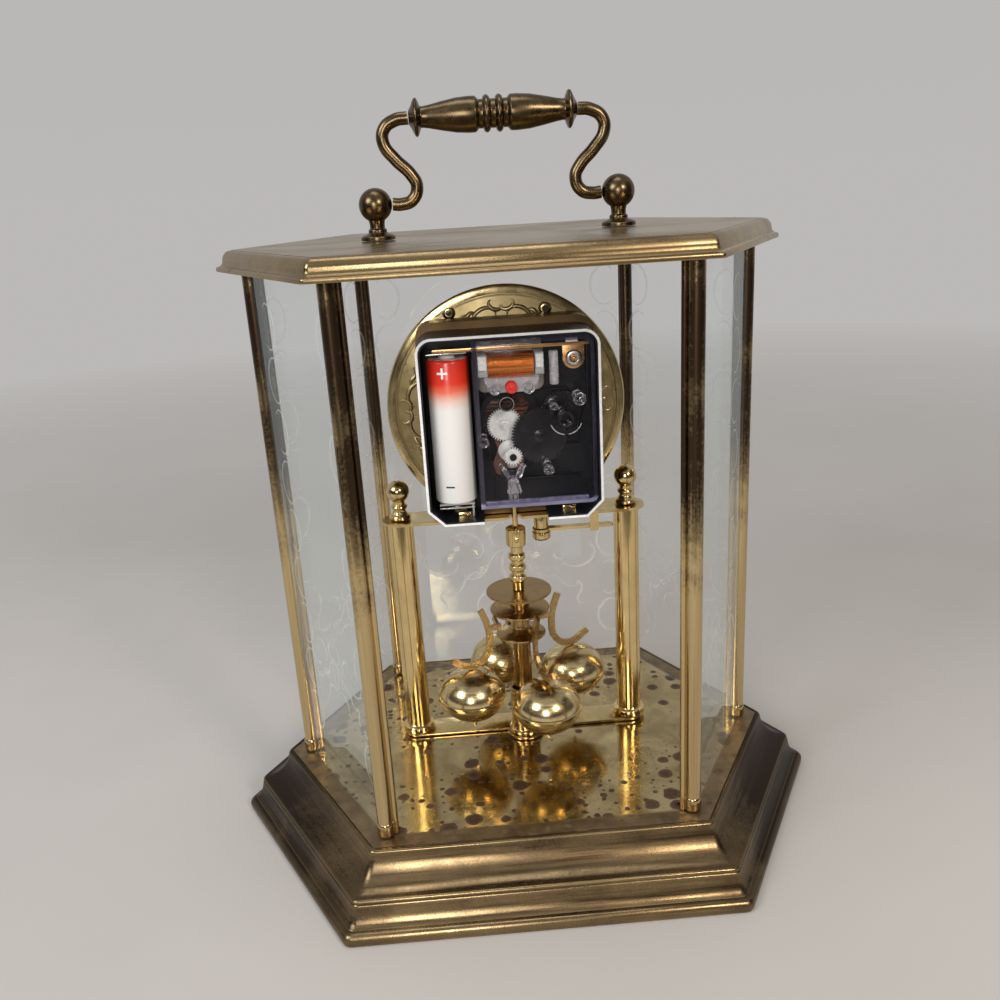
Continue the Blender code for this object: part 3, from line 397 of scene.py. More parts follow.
# the floor of the case: polished, scratched, with round age spots that have paler rings
def makeFloorBrass():
    sh = Shader("floorBrass")
    sh.set(Metallic=1.0)
    where = sh.coords()
    warp = sh.add("ShaderNodeTexNoise")
    warp.inputs["Scale"].default_value = 260
    sh.link(where, warp.inputs["Vector"])
    bent = sh.add("ShaderNodeVectorMath", operation="MULTIPLY_ADD")
    sh.link(warp.outputs["Color"], bent.inputs[0])
    bent.inputs[1].default_value = (0.0014, 0.0014, 0)
    sh.link(where, bent.inputs[2])
    inside, ring = 0.0, 0.0
    # large spots in loose groups, small ones everywhere
    for scale, least, most, zoneScale, zoneLow, zoneHigh in ((118, 0.10, 0.42, 26, 0.38, 0.50),
                                                             (290, 0.40, 0.38, 16, 0.32, 0.54)):
        spots = sh.cells(bent.outputs["Vector"], scale)
        chosen = sh.add("ShaderNodeSeparateColor")
        sh.link(spots.outputs["Color"], chosen.inputs["Color"])
        sizes = sh.spread(chosen.outputs["Red"], least, 1.0, 0.0, most)
        zone = sh.spread(sh.noise(where, zoneScale, 1, 0.5), zoneLow, zoneHigh)
        sizes = sh.maths("MULTIPLY", sizes, zone)
        gap = sh.maths("SUBTRACT", sizes, spots.outputs["Distance"])
        inside = sh.maths("MAXIMUM", inside, sh.spread(gap, 0.0, 0.06))
        halo = sh.maths("ABSOLUTE", sh.maths("SUBTRACT", gap, 0.11))
        ring = sh.maths("MAXIMUM", ring, sh.spread(halo, 0.06, 0.01))
    mottle = sh.noise(where, 620, 4, 0.7)
    clean = sh.ramp(sh.noise(where, 70, 5, 0.6, 0.6), [(0.30, (0.36, 0.265, 0.13)),
                                                       (0.55, (0.56, 0.44, 0.225)),
                                                       (0.80, (0.70, 0.57, 0.32))])
    stain = sh.ramp(mottle, [(0.34, (0.055, 0.028, 0.022)), (0.62, (0.15, 0.085, 0.062))])
    body = sh.mix(sh.maths("MULTIPLY", inside, 0.9, True), clean, stain)
    body = sh.mix(sh.maths("MULTIPLY", ring, 0.6, True), body, (0.27, 0.17, 0.125, 1))
    rim = sh.spread(outsideGlass(sh), 0.0, 0.0012)
    dull = sh.ramp(sh.noise(where, 160, 5, 0.65), [(0.3, (0.16, 0.11, 0.065)), (0.7, (0.34, 0.25, 0.145))])
    body = sh.mix(rim, body, dull)
    sh.colour(body)
    scratches = sh.noise(sh.coords((40, 1400, 1), (0, 0, 0.5)), 1.0, 3, 0.6)
    base = sh.spread(scratches, 0.4, 0.8, 0.10, 0.22)
    rough = sh.maths("ADD", base, sh.maths("MULTIPLY", inside, 0.35))
    sh.roughness(sh.maths("ADD", rough, sh.maths("MULTIPLY", rim, 0.32)))
    sh.bump(sh.maths("ADD", scratches, sh.maths("MULTIPLY", inside, 0.5)), 0.04, 0.0002)
    return sh.mat


# how far a point of the floor lies outside the panes, in metres
def outsideGlass(sh):
    across = sh.maths("ABSOLUTE", sh.axis("X"))
    deep = sh.maths("ABSOLUTE", sh.axis("Y"))
    depth, span = caseFront["depth"], caseFront["width"] - caseFront["edge"]
    side = hypot(depth, span)
    flat = sh.maths("SUBTRACT", deep, depth)
    slanted = sh.maths("SUBTRACT", sh.maths("ADD", sh.maths("MULTIPLY", across, depth / side),
                                            sh.maths("MULTIPLY", deep, span / side)),
                       caseFront["width"] * depth / side)
    return sh.maths("MAXIMUM", flat, slanted)


# clear sheet: gloss by angle over a see-through body, so that light passes to what stands behind
def makeSheet(name, tintLow, tintHigh, least, most, rough, smearScale):
    sh = Shader(name)
    smear = sh.noise(sh.coords((1, 1, 0.4)), smearScale, 5, 0.65, 1.2)
    sh.colour(sh.ramp(smear, [(0.3, tintLow), (0.7, tintHigh)]))
    facing = sh.add("ShaderNodeLayerWeight")
    facing.inputs["Blend"].default_value = 0.5
    gloss = sh.maths("MULTIPLY", sh.maths("POWER", facing.outputs["Facing"], 4.0), most)
    veil = sh.spread(smear, 0.35, 0.75, least, least * 1.6)
    sh.feed(sh.bsdf.inputs["Alpha"], sh.maths("ADD", veil, gloss, True))
    sh.set(Metallic=0.9)
    sh.roughness(sh.spread(smear, 0.4, 0.8, rough, rough + 0.08))
    return sh.mat


# the sloping edge of the movement's cover: dark, with a painted lilac highlight along its foot
def makeSkirt():
    sh = Shader("coverEdge")
    tone = sh.noise(sh.coords((60, 60, 60)), 1.0, 4, 0.6)
    dark = sh.ramp(tone, [(0.3, (0.030, 0.028, 0.045)), (0.7, (0.075, 0.070, 0.105))])
    # painted highlight: lilac along the foot of the slope, dark above it
    lilacHighlight = sh.ramp(tone, [(0.3, (0.25, 0.24, 0.40)), (0.7, (0.50, 0.48, 0.68))])
    foot = sh.spread(sh.axis("Z"), 120.9 * mm, 120.2 * mm)
    sh.colour(sh.mix(foot, dark, lilacHighlight))
    sh.roughness(sh.spread(tone, 0.3, 0.7, 0.10, 0.22))
    sh.feed(sh.bsdf.inputs["Alpha"], sh.spread(foot, 0.0, 1.0, 0.5, 0.72))
    return sh.mat


# frosted lines in the glass
def makeEtch():
    sh = Shader("etchedLine")
    grain = sh.noise(sh.coords(), 2600, 3)
    sh.colour(sh.ramp(grain, [(0.3, (0.80, 0.84, 0.83)), (0.7, (0.93, 0.95, 0.94))]))
    sh.set(Roughness=0.8, Transmission_Weight=0.6, IOR=1.1)
    sh.feed(sh.bsdf.inputs["Alpha"], sh.spread(sh.noise(sh.coords(), 160, 3), 0.3, 0.7, 0.45, 0.75))
    sh.bump(grain, 0.3, 0.0001)
    return sh.mat


def makePlastic(name, dark, pale, rough=0.42, scale=900, clear=0.0, lift=0.08, shine=0.5):
    sh = Shader(name)
    grain = sh.noise(sh.coords(), scale, 4, 0.6)
    sh.colour(sh.ramp(grain, [(0.35, dark), (0.65, pale)]))
    sh.roughness(sh.spread(grain, 0.3, 0.7, rough - 0.06, rough + 0.08))
    sh.bump(grain, lift, 0.0001)
    sh.set(Specular_IOR_Level=shine)
    if clear:
        sh.set(Transmission_Weight=clear, IOR=1.46)
    return sh.mat


def makeClear(name, dark, pale, rough, through):
    sh = Shader(name)
    haze = sh.noise(sh.coords(), 260, 3, 0.6)
    sh.colour(sh.ramp(haze, [(0.3, dark), (0.7, pale)]))
    sh.set(Transmission_Weight=through, IOR=1.46)
    sh.roughness(sh.spread(haze, 0.3, 0.7, rough, rough + 0.04))
    return sh.mat


# enamelled copper wire
def makeCopper():
    sh = Shader("copperWire")
    sh.set(Metallic=0.92, Coat_Weight=0.5, Coat_Roughness=0.1)
    lines = sh.noise(sh.coords((1800, 40, 40)), 1.0, 3, 0.6)
    sh.colour(sh.ramp(lines, [(0.3, (0.72, 0.24, 0.06)), (0.7, (0.98, 0.46, 0.14))]))
    sh.roughness(sh.spread(lines, 0.3, 0.7, 0.22, 0.4))
    return sh.mat


# the cell's sleeve: red at the capped end, fading to white
def makeSleeve():
    sh = Shader("cellSleeve")
    share = sh.maths("DIVIDE", sh.axis("Z"), size("battery", 2) - 1.0 * mm)
    soft = sh.maths("ADD", share, sh.spread(sh.noise(sh.coords(), 500, 2), 0.0, 1.0, -0.012, 0.012))
    colour = sh.ramp(soft, [(0.0, (0.70, 0.69, 0.68)), (0.66, (0.78, 0.76, 0.75)),
                            (0.72, (0.80, 0.58, 0.52)), (0.79, (0.78, 0.16, 0.09)),
                            (0.84, (0.72, 0.035, 0.015)), (0.996, (0.62, 0.025, 0.012)),
                            (1.0, (0.55, 0.54, 0.52))])
    sh.colour(colour)
    sh.set(Roughness=0.3, Coat_Weight=0.3)
    sh.bump(sh.noise(sh.coords(), 400, 3), 0.04, 0.0002)
    return sh.mat


# green felt under the base
def makeFelt():
    sh = Shader("baseFelt")
    fibre = sh.noise(sh.coords(), 3000, 5, 0.8)
    sh.colour(sh.ramp(fibre, [(0.3, (0.015, 0.05, 0.03)), (0.7, (0.05, 0.13, 0.08))]))
    sh.set(Roughness=0.95, Sheen_Weight=0.4)
    sh.bump(fibre, 0.7, 0.0005)
    return sh.mat


# darkened brass: clean, worn and brown colour, roughness, cover of the brown
# the base's brown thickens toward its left and right sides: patina, and painted shade for the dark room
# those sides reflect
baseBrass = patinaShader("baseBrass", (0.17, 0.115, 0.058), (0.46, 0.33, 0.17), (0.040, 0.025, 0.016), 0.17,
                         0.50, paintedShadeAxis="X")
floorBrass = makeFloorBrass()
roofBrass = patinaShader("roofBrass", (0.26, 0.185, 0.095), (0.46, 0.34, 0.175), (0.098, 0.062, 0.036), 0.20,
                         0.40, (12, 220, 220))
# the posts' brown thickens toward their tops: patina, and painted shade for the dark room their upper parts
# reflect
postBrass = patinaShader("postBrass", (0.50, 0.37, 0.185), (0.68, 0.53, 0.285), (0.070, 0.044, 0.026), 0.12,
                         0.02, (500, 500, 10), 900, 30, "Z", (-0.03, 0.025, 0.60), 0.0)
brightBrass = brassShader("brightBrass", (0.68, 0.52, 0.25), (0.34, 0.23, 0.10), 0.09, 0.25, (500, 500, 500),
                          0.4, 120, 0.02)
discBrass = brassShader("discBrass", (0.38, 0.25, 0.10), (0.17, 0.105, 0.045), 0.14, 0.3, (40, 40, 900), 0.4,
                        90, 0.03)
armBrass = brassShader("armBrass", (0.52, 0.36, 0.16), (0.22, 0.14, 0.06), 0.20, 0.3, (700, 700, 700), 0.4,
                       120, 0.03)
ballBrass = brassShader("ballBrass", (0.68, 0.54, 0.29), (0.30, 0.20, 0.10), 0.11, 0.3, (90, 90, 1600), 0.5,
                        150, 0.03)
handleBrass = patinaShader("handleBrass", (0.088, 0.061, 0.034), (0.145, 0.102, 0.054),
                           (0.052, 0.034, 0.022), 0.24, 0.12, (300, 300, 300), 1800, 90, wornEdgeHighlightAmount=0.12)
dialBrass = brassShader("dialBrass", (0.43, 0.335, 0.17), (0.20, 0.145, 0.072), 0.24, 0.5, (300, 300, 300),
                        0.6, 90, 0.05)
spacerBrass = brassShader("spacerBrass", (0.15, 0.095, 0.045), (0.065, 0.042, 0.022), 0.30, 0.3,
                          (40, 1200, 40), 0.6, 70, 0.04)
paneGlass = makeSheet("paneGlass", (0.80, 0.90, 0.90), (0.88, 0.95, 0.94), 0.035, 0.9, 0.01, 9)
etchedLine = makeEtch()
blackCase = makePlastic("blackCase", (0.005, 0.005, 0.007), (0.012, 0.012, 0.016), 0.38, shine=0.28)
rimGrey = makePlastic("rimGrey", (0.74, 0.74, 0.75), (0.86, 0.86, 0.86), 0.35)
wheelBlack = makePlastic("wheelBlack", (0.008, 0.0075, 0.009), (0.010, 0.0095, 0.011), 0.20, 400, lift=0.0)
wheelWhite = makePlastic("wheelWhite", (0.54, 0.54, 0.55), (0.68, 0.68, 0.68), 0.34)
boardBrown = makePlastic("boardBrown", (0.11, 0.040, 0.026), (0.19, 0.075, 0.048), 0.40)
redPlastic = makePlastic("redPlastic", (0.55, 0.02, 0.02), (0.75, 0.05, 0.04), 0.25)
milkPlastic = makePlastic("milkPlastic", (0.62, 0.60, 0.64), (0.80, 0.78, 0.82), 0.22, 700, 0.55)
coverClear = makeSheet("coverClear", (0.60, 0.58, 0.72), (0.78, 0.76, 0.88), 0.008, 0.5, 0.03, 60)
coverEdge = makeSkirt()
coverBar = makePlastic("coverBar", (0.08, 0.076, 0.14), (0.20, 0.19, 0.30), 0.10, 500, 0.3, lift=0.02)
studClear = makeClear("studClear", (0.84, 0.82, 0.93), (0.95, 0.94, 0.98), 0.03, 0.95)
carrierGrey = makePlastic("carrierGrey", (0.20, 0.17, 0.15), (0.34, 0.30, 0.28), 0.35, 300)
stripCopper = brassShader("stripCopper", (0.80, 0.46, 0.20), (0.50, 0.26, 0.10), 0.22, 0.3, (20, 900, 900),
                          0.3, 90, 0.03)
copperWire = makeCopper()
contactSteel = brassShader("contactSteel", (0.72, 0.72, 0.70), (0.45, 0.44, 0.42), 0.2, 0.3, (30, 900, 900),
                           0.4, 200, 0.04)
cellSleeve = makeSleeve()
baseFelt = makeFelt()
pillarBrass = brassShader("pillarBrass", (0.76, 0.58, 0.28), (0.38, 0.26, 0.11), 0.07, 0.25, (700, 700, 9),
                          0.4, 60, 0.02)
bezelBrass = brassShader("bezelBrass", (0.66, 0.52, 0.27), (0.32, 0.23, 0.11), 0.11, 0.35, (200, 200, 200),
                         0.5, 80, 0.03)
chapterWhite = makePlastic("chapterWhite", (0.80, 0.79, 0.75), (0.87, 0.86, 0.83), 0.45)
handBlack = makePlastic("handBlack", (0.012, 0.011, 0.012), (0.03, 0.028, 0.028), 0.30)
slotDark = makePlastic("slotDark", (0.02, 0.014, 0.01), (0.05, 0.035, 0.02), 0.6)
printBlack = makePlastic("printBlack", (0.02, 0.02, 0.02), (0.05, 0.05, 0.05), 0.35)
printWhite = makePlastic("printWhite", (0.85, 0.84, 0.83), (0.93, 0.92, 0.91), 0.35)
print("finishes made")


# outline of the case, widened by an offset, with its corners eased
def caseOutline(offset, ease=0.0):
    edge, depth, width = caseFront["edge"], caseFront["depth"], caseFront["width"]
    side = hypot(depth, width - edge)
    wideEdge = edge + offset * (side - (width - edge)) / depth
    wide = width + offset * side / depth
    deep = depth + offset
    corners = [(wideEdge, deep), (wide, 0), (wideEdge, -deep), (-wideEdge, -deep), (-wide, 0),
               (-wideEdge, deep)]
    return easeCorners(corners, ease, True) if ease else corners


# a smooth line through points, four steps to each stretch
def smoothLine(points):
    ends = [points[0]] + list(points) + [points[-1]]
    steps, line = 4, []
    for a, b, c, d in zip(ends, ends[1:], ends[2:], ends[3:]):
        for i in range(steps):
            t = i / steps
            line.append(tuple(0.5 * (2 * q + (r - p) * t + (2 * p - 5 * q + 4 * r - s) * t * t
                                     + (3 * q - p - 3 * r + s) * t ** 3) for p, q, r, s in zip(a, b, c, d)))
    return line + [tuple(points[-1])]


# stretches joined into one line; those of more than two points are smoothed
def strokes(*parts):
    line = []
    for part in parts:
        made = smoothLine(part) if len(part) > 2 else list(part)
        line += made[1:] if line and made[0] == line[-1] else made
    return sized(line)


# a moulding that runs round the case, mitred at the corners
def mouldingPiece(name, rings, ease, mat, stands, closed=True):
    bm = bmesh.new()
    loops = [[bm.verts.new((x, y, z)) for x, y in caseOutline(offset, ease)] for offset, z in rings]
    pairs = list(zip(loops, loops[1:]))
    if closed:
        pairs.append((loops[-1], loops[0]))
    else:
        bm.faces.new(loops[0])
        bm.faces.new(loops[-1])
    skinLoops(bm, pairs)
    settle(putObject(name, meshFrom(name, bm, 0.45)), mat, "clock", stands)


# base and floor, in millimetres beyond the post axes and above the table
base = {
    "rim": [(7.1, 23.5), (7.9, 23.48), (8.4, 23.1), (8.6, 22.5)],
    "cove": [(8.6, 22.5), (9.0, 20.7), (9.9, 18.5), (11.4, 16.3), (13.5, 14.4), (15.8, 13.2), (17.0, 12.95)],
    "ridge": [(17.0, 12.95), (17.75, 12.75), (18.15, 12.2), (18.1, 11.4)],
    "band": [(18.1, 11.4), (18.45, 10.9), (18.75, 9.2), (19.35, 7.2), (20.3, 5.5), (21.4, 4.5)],
    "foot": [(21.4, 4.3), (22.6, 3.9), (23.35, 3.0), (23.65, 1.9), (23.55, 0.8), (23.2, 0.0)],
    "inside": [(21.3, 0.0), (21.3, 1.4), (20.4, 2.6), (19.0, 4.6), (17.9, 7.2), (17.2, 10.0),
               (16.4, 11.6), (13.4, 12.9), (10.8, 15.0), (9.0, 17.6), (8.0, 20.4), (-4.0, 21.2),
               (-4.0, 22.4), (7.1, 22.4)],
    "cornerEase": 1.7 * mm,
}


def makeBase():
    line = strokes(base["rim"], base["cove"], base["ridge"], base["band"], base["foot"])
    line += sized(base["inside"])
    mouldingPiece("pressedBase", line, base["cornerEase"], baseBrass, "base_shell")
    dressNode("floor_plate", floorBrass)
    dressNode("base_cover", baseFelt)


roof = {
    "flat": [(3.6, 208.5), (4.25, 208.5)],
    "groove": [(4.25, 208.5), (4.45, 208.25), (4.7, 208.35)],
    "ovolo": [(4.7, 208.35), (5.7, 208.1), (6.6, 207.2), (7.1, 206.1), (7.2, 205.3)],
    "cove": [(7.2, 205.3), (7.4, 204.5), (7.95, 203.85), (8.65, 203.55)],
    "lip": [(8.65, 203.55), (9.15, 203.3), (9.3, 202.9), (9.3, 202.4), (9.15, 202.0)],
    "inside": [(-6.0, 202.0), (-6.0, 203.0), (7.4, 203.0), (6.1, 204.4), (5.7, 206.4), (4.2, 207.4)],
    "cornerEase": 1.0 * mm,
}


def makeRoof():
    line = strokes(roof["flat"], roof["groove"], roof["ovolo"], roof["cove"], roof["lip"])
    line += sized(roof["inside"])
    mouldingPiece("pressedRoof", line, roof["cornerEase"], roofBrass, "roof", closed=False)


# six rolled posts: a tube with a narrow bead beside it, in a round foot
post = {"tube": 2.65 * mm, "bead": 0.95 * mm, "reach": 3.3 * mm, "footRadius": 3.0 * mm,
        "footHeight": 4.0 * mm}


# outline of a post: the tube and the bead where they meet
def postSection():
    meet = (post["reach"] ** 2 + post["tube"] ** 2 - post["bead"] ** 2) / (2 * post["reach"])
    half = sqrt(post["tube"] ** 2 - meet ** 2)
    tubeTurn = atan2(half, meet)
    beadTurn = atan2(half, meet - post["reach"])
    return (arc(0, 0, post["tube"], tubeTurn, 2 * pi - tubeTurn, 40)
            + arc(post["reach"], 0, post["bead"], -beadTurn, beadTurn, 16)[1:-1])


def makePosts():
    names = ("rear_right", "side_right", "front_right", "front_left", "side_left", "rear_left")
    inward = (pi, pi, radians(120), radians(60), 0, 0)  # the bead's side of each post
    bottom, top = low("post_rear_left", 2), high("post_rear_left", 2)
    foot, tall = post["footRadius"], post["footHeight"]
    footProfile = [(0, tall + 0.8 * mm), (post["tube"] + 0.05 * mm, tall + 0.8 * mm), (foot, tall),
                   (foot, 0.6 * mm), (foot - 0.3 * mm, 0), (0, 0)]
    for (x, y), name, turn in zip(caseOutline(0), names, inward):
        plate("post_" + name + "_rolled", postSection(), top - bottom, postBrass, "clock",
              (x, y, (top + bottom) / 2), (0, 0, turn), stands=["post_" + name])
        turned("post_" + name + "_foot", footProfile, postBrass, "clock", (x, y, bottom), steps=40,
               ease=0.2 * mm)


makeBase()
makeRoof()
makePosts()
print("case made")


# etched scrolls run up both sides of each pane and spread over the middle of its foot
etch = {
    "width": 0.8 * mm, "proud": 0.02 * mm, "margin": 8.5 * mm, "tall": 15 * mm, "spacing": 1.12,
    "aboveFloor": 12 * mm, "belowRoof": 9 * mm, "sway": (1.2 * mm, -1.0 * mm),
    "motif": 42 * mm, "motifUnits": 70, "wide": 70 * mm, "narrow": 40 * mm,
    # across, up, height, lean, shape: in seventieths of the motif's width
    "motifLines": [(9, 6, 22, 1.9, "S"), (20, -2, 18, -1.2, "S"), (29, 7, 14, 0.3, "C"),
                   (8, -11, 14, 2.6, "C"), (17, 15, 12, -2.4, "C"), (4.5, 19, 11, 1.7, "C"),
                   (29, -10, 10, 0.9, "S")],
    "leaf": [(0.0, -6), (2.2, -1), (3.4, 5), (2.4, 11), (0.0, 16)],
}


# a line that curls in at both ends: a C, or an S where the curls turn opposite ways
def scrollLine(x, z, tall, turn, shape, flip, steps=56):
    first = -1 if shape == "C" else 1
    line, px, pz = [], 0.0, 0.0
    for i in range(steps):
        share = -1 + 2 * (i + 0.5) / steps
        reach = abs(share)
        curl = 1.5 * reach + 1.5 * reach ** 4
        heading = turn + curl * (1 if share > 0 else first)
        px += cos(heading)
        pz += sin(heading)
        line.append((px, pz))
    lowX, highX = min(p[0] for p in line), max(p[0] for p in line)
    lowZ, highZ = min(p[1] for p in line), max(p[1] for p in line)
    grow = tall / max(highX - lowX, highZ - lowZ)
    middleX, middleZ = (lowX + highX) / 2, (lowZ + highZ) / 2
    return [(x + flip * (px - middleX) * grow, z + (pz - middleZ) * grow) for px, pz in line]


# one joined mesh of flattened lines on the inner face of a pane
def makeEtching(name, lines, cornerA, cornerB, inner):
    start = Vector((*cornerA, 0))
    along = Vector((*cornerB, 0)) - start
    width = along.length
    along.normalize()
    across = Vector((-along.y, along.x, 0))
    if across.dot(-start) < 0:
        across = -across
    bm = bmesh.new()
    half = etch["width"] / 2
    for line in lines:
        rows = []
        for i, (x, z) in enumerate(line):
            ahead = line[min(i + 1, len(line) - 1)]
            behind = line[max(i - 1, 0)]
            run = hypot(ahead[0] - behind[0], ahead[1] - behind[1]) or 1.0
            side = (-(ahead[1] - behind[1]) / run * half, (ahead[0] - behind[0]) / run * half)
            share = i / (len(line) - 1)
            thick = 0.45 + 0.9 * sin(pi * share)
            row = []
            for sign in (-1, 1):
                spot = start + along * (x + side[0] * sign * thick) + across * inner
                row.append(bm.verts.new((spot.x, spot.y, z + side[1] * sign * thick)))
            rows.append(row)
        for first, second in zip(rows, rows[1:]):
            bm.faces.new((first[0], first[1], second[1], second[0]))
    mesh = bpy.data.meshes.new(name)
    bm.to_mesh(mesh)
    bm.free()
    settle(putObject(name, mesh), etchedLine, "clock")
    return width


# a column of scrolls up each side of a pane
def paneScrolls(width):
    lines = []
    bottom, top = floorTop + etch["aboveFloor"], roofLow - etch["belowRoof"]
    count = round((top - bottom) / (etch["tall"] * etch["spacing"]))
    step = (top - bottom) / count
    for flip, edge in ((1, 0), (-1, width)):
        for i in range(count):
            z = bottom + step * (i + 0.5)
            x = edge + flip * (etch["margin"] + etch["sway"][i % 2])
            lines.append(scrollLine(x, z, etch["tall"], pi / 2 if i % 2 == 0 else -pi / 2, "C", flip))
    return lines


# centre motif: mirrored scrolls round a pointed leaf
def footScrolls(width, wide):
    lines = []
    centre, z, unit = width / 2, floorTop + etch["motif"], wide / etch["motifUnits"]
    for flip in (-1, 1):
        for x, up, tall, turn, shape in etch["motifLines"]:
            middleX = centre + flip * x * unit
            lines.append(scrollLine(middleX, z + up * unit, tall * unit, turn, shape, flip))
        lines.append([(centre + flip * x * unit, z + up * unit) for x, up in smoothLine(etch["leaf"])])
    return lines


def makePanes():
    names = ("rear_right", "front_right", "front", "front_left", "rear_left")
    corners = caseOutline(0)
    for name, first, second in zip(names, corners, corners[1:]):
        dressNode("pane_" + name, paneGlass)
        width = hypot(second[0] - first[0], second[1] - first[1])
        lines = paneScrolls(width)
        lines += footScrolls(width, etch["wide"] if name == "front" else etch["narrow"])
        makeEtching("etching_" + name, lines, first, second, size("pane_front", 1) / 2 + etch["proud"])


makePanes()
print("glass made")


# carrying handle: turned ball posts, bent arms and a turned grip
handleSizes = {
    "postBall": 5.3 * mm, "postNeck": 2.4 * mm, "postFoot": 5.5 * mm,
    "rod": 2.0 * mm, "axisHeight": 219.5 * mm, "gripHeight": 244.8 * mm,
    "arm": [(33.4, 219.5), (30.8, 219.3), (27.1, 220.4), (25.3, 224.5), (26.9, 228.1), (31.5, 232.9),
            (34.75, 237.7), (34.3, 241.8), (30.5, 244.4), (26.6, 244.8)],
    # half of the grip, out from the middle rings: distance, radius
    "grip": [(0.0, 4.3), (0.75, 4.3), (1.1, 5.1), (1.7, 5.55), (2.3, 5.55), (2.9, 5.1), (3.2, 4.3),
             (4.5, 4.3), (5.0, 4.9), (5.5, 5.35), (7.5, 5.40), (11.5, 5.12), (16.0, 4.3), (20.0, 3.45),
             (22.0, 3.15), (22.6, 3.2), (23.0, 4.4), (23.5, 5.5), (24.0, 5.8), (24.5, 5.5), (25.0, 4.6),
             (25.4, 3.6), (26.1, 2.4), (26.3, 2.05)],
}


# part of a ball's outline, by its angles above the middle
def ballLine(radius, height, start, end, count):
    return [(radius * cos(a), height + radius * sin(a)) for a in
            [start + (end - start) * i / count for i in range(count + 1)]]


def makeHandle():
    axisHeight = handleSizes["axisHeight"]
    foot = low("handle_post_left", 2)
    neck = handleSizes["postNeck"]
    profile = [(0, axisHeight + handleSizes["postBall"] - foot)]
    profile += ballLine(handleSizes["postBall"], axisHeight - foot, pi / 2, -1.05, 22)[1:]
    profile += [(neck, 5.0 * mm), (neck, 3.6 * mm), (neck + 0.5 * mm, 3.2 * mm), (neck + 0.6 * mm, 2.8 * mm),
                (neck + 0.5 * mm, 2.4 * mm), (3.3 * mm, 2.0 * mm), (4.6 * mm, 1.6 * mm),
                (handleSizes["postFoot"], 1.1 * mm), (handleSizes["postFoot"], 0.0), (0, 0)]
    for name, sign in (("left", -1), ("right", 1)):
        x = middle("handle_post_" + name, 0)
        turned("handlePost_" + name, profile, handleBrass, "clock", (x, 0, foot), steps=64, ease=0.12 * mm,
               stands=["handle_post_" + name])
        points = [(sign * ax * mm, 0, az * mm) for ax, az in handleSizes["arm"]]
        tube("handleArm_" + name, points, handleSizes["rod"], handleBrass, "handle", sides=8,
             stands=["handle_arm_" + name])
    half = [(r * mm, x * mm) for x, r in handleSizes["grip"]]
    profile = [(r, -x) for r, x in reversed(half)][:-1] + half
    profile = [(0, -half[-1][1])] + profile + [(0, half[-1][1])]
    turned("handleGrip", profile, handleBrass, "handle", (0, 0, handleSizes["gripHeight"]), alongX, 72,
           0.15 * mm, stands=["handle_grip"])


makeHandle()
print("handle made")


# stand: foot strip, two pillars, platform with hooks, finials, lever and screw
stand = {
    "pillarRadius": 4.55 * mm, "pillarRing": 6.0 * mm, "ringHeight": 2.6 * mm,
    "stripHalf": 5.6 * mm, "stripLobe": 7.0 * mm,
    "finial": [(0, 0), (3.6, 0.0), (3.9, 0.35), (3.9, 1.0), (3.6, 1.5), (2.9, 2.0), (2.4, 2.8),
               (2.35, 3.6), (2.9, 4.1), (3.05, 4.6), (2.8, 5.1), (2.2, 5.6)],
    "finialBall": 4.1 * mm, "ballHeight": 10.1 * mm,
}


# the strip's two long edges with rounded ends and a lobe round the guide cup
def stripOutline():
    left, right, y = low("foot_strip", 0), high("foot_strip", 0), middle("pillar_left", 1)
    half, lobe = stand["stripHalf"], stand["stripLobe"]
    upper = y + half
    start = atan2(upper, sqrt(lobe ** 2 - upper ** 2))
    return (arc(right - half, y, half, -pi / 2, pi / 2, 16) + arc(0, 0, lobe, start, pi - start, 24)
            + arc(left + half, y, half, pi / 2, 3 * pi / 2, 16))


# a plain pillar with a thick ring at its foot
def makePillar(node):
    tall, ringHeight = size(node, 2), stand["ringHeight"]
    r, ring = stand["pillarRadius"], stand["pillarRing"]
    profile = [(0, tall), (r - 0.3 * mm, tall), (r, tall - 0.3 * mm), (r, ringHeight + 0.5 * mm),
               (r + 0.3 * mm, ringHeight + 0.1 * mm), (ring - 0.5 * mm, ringHeight),
               (ring, ringHeight - 0.5 * mm), (ring, 0.4 * mm), (ring - 0.3 * mm, 0), (0, 0)]
    turned(node + "_turned", profile, pillarBrass, "clock", (middle(node, 0), middle(node, 1), low(node, 2)),
           steps=72, ease=0.15 * mm, stands=[node])


# a ball on a stepped foot and a narrow neck
def makeFinial(node):
    profile = sized(stand["finial"])
    profile += ballLine(stand["finialBall"], stand["ballHeight"], -0.95, pi / 2, 20)[:-1]
    profile.append((0, stand["ballHeight"] + stand["finialBall"]))
    turned(node + "_turned", profile, brightBrass, "clock",
           (middle(node, 0), middle("pillar_left", 1), low(node, 2)), steps=64, ease=0.1 * mm, stands=[node])


def makeStand():
    strip = "foot_strip"
    plate("footStrip", stripOutline(), size(strip, 2), brightBrass, "clock", (0, 0, middle(strip, 2)),
          edge=0.2 * mm, stands=[strip])
    for name in ("left", "right"):
        makePillar("pillar_" + name)
        makeFinial("finial_" + name)
    for node in ("platform_strip", "lock_lever"):
        dressNode(node, brightBrass)
        easeNode(node, 0.15 * mm)
    makeLockScrew()


# screw that holds the lever: slotted round head, washer and collar
screw = {"head": 3.35 * mm, "headTall": 3.0 * mm, "shank": 1.2 * mm, "washer": 4.6 * mm, "collar": 2.65 * mm,
         "slot": (5.4 * mm, 0.7 * mm, 0.05 * mm)}


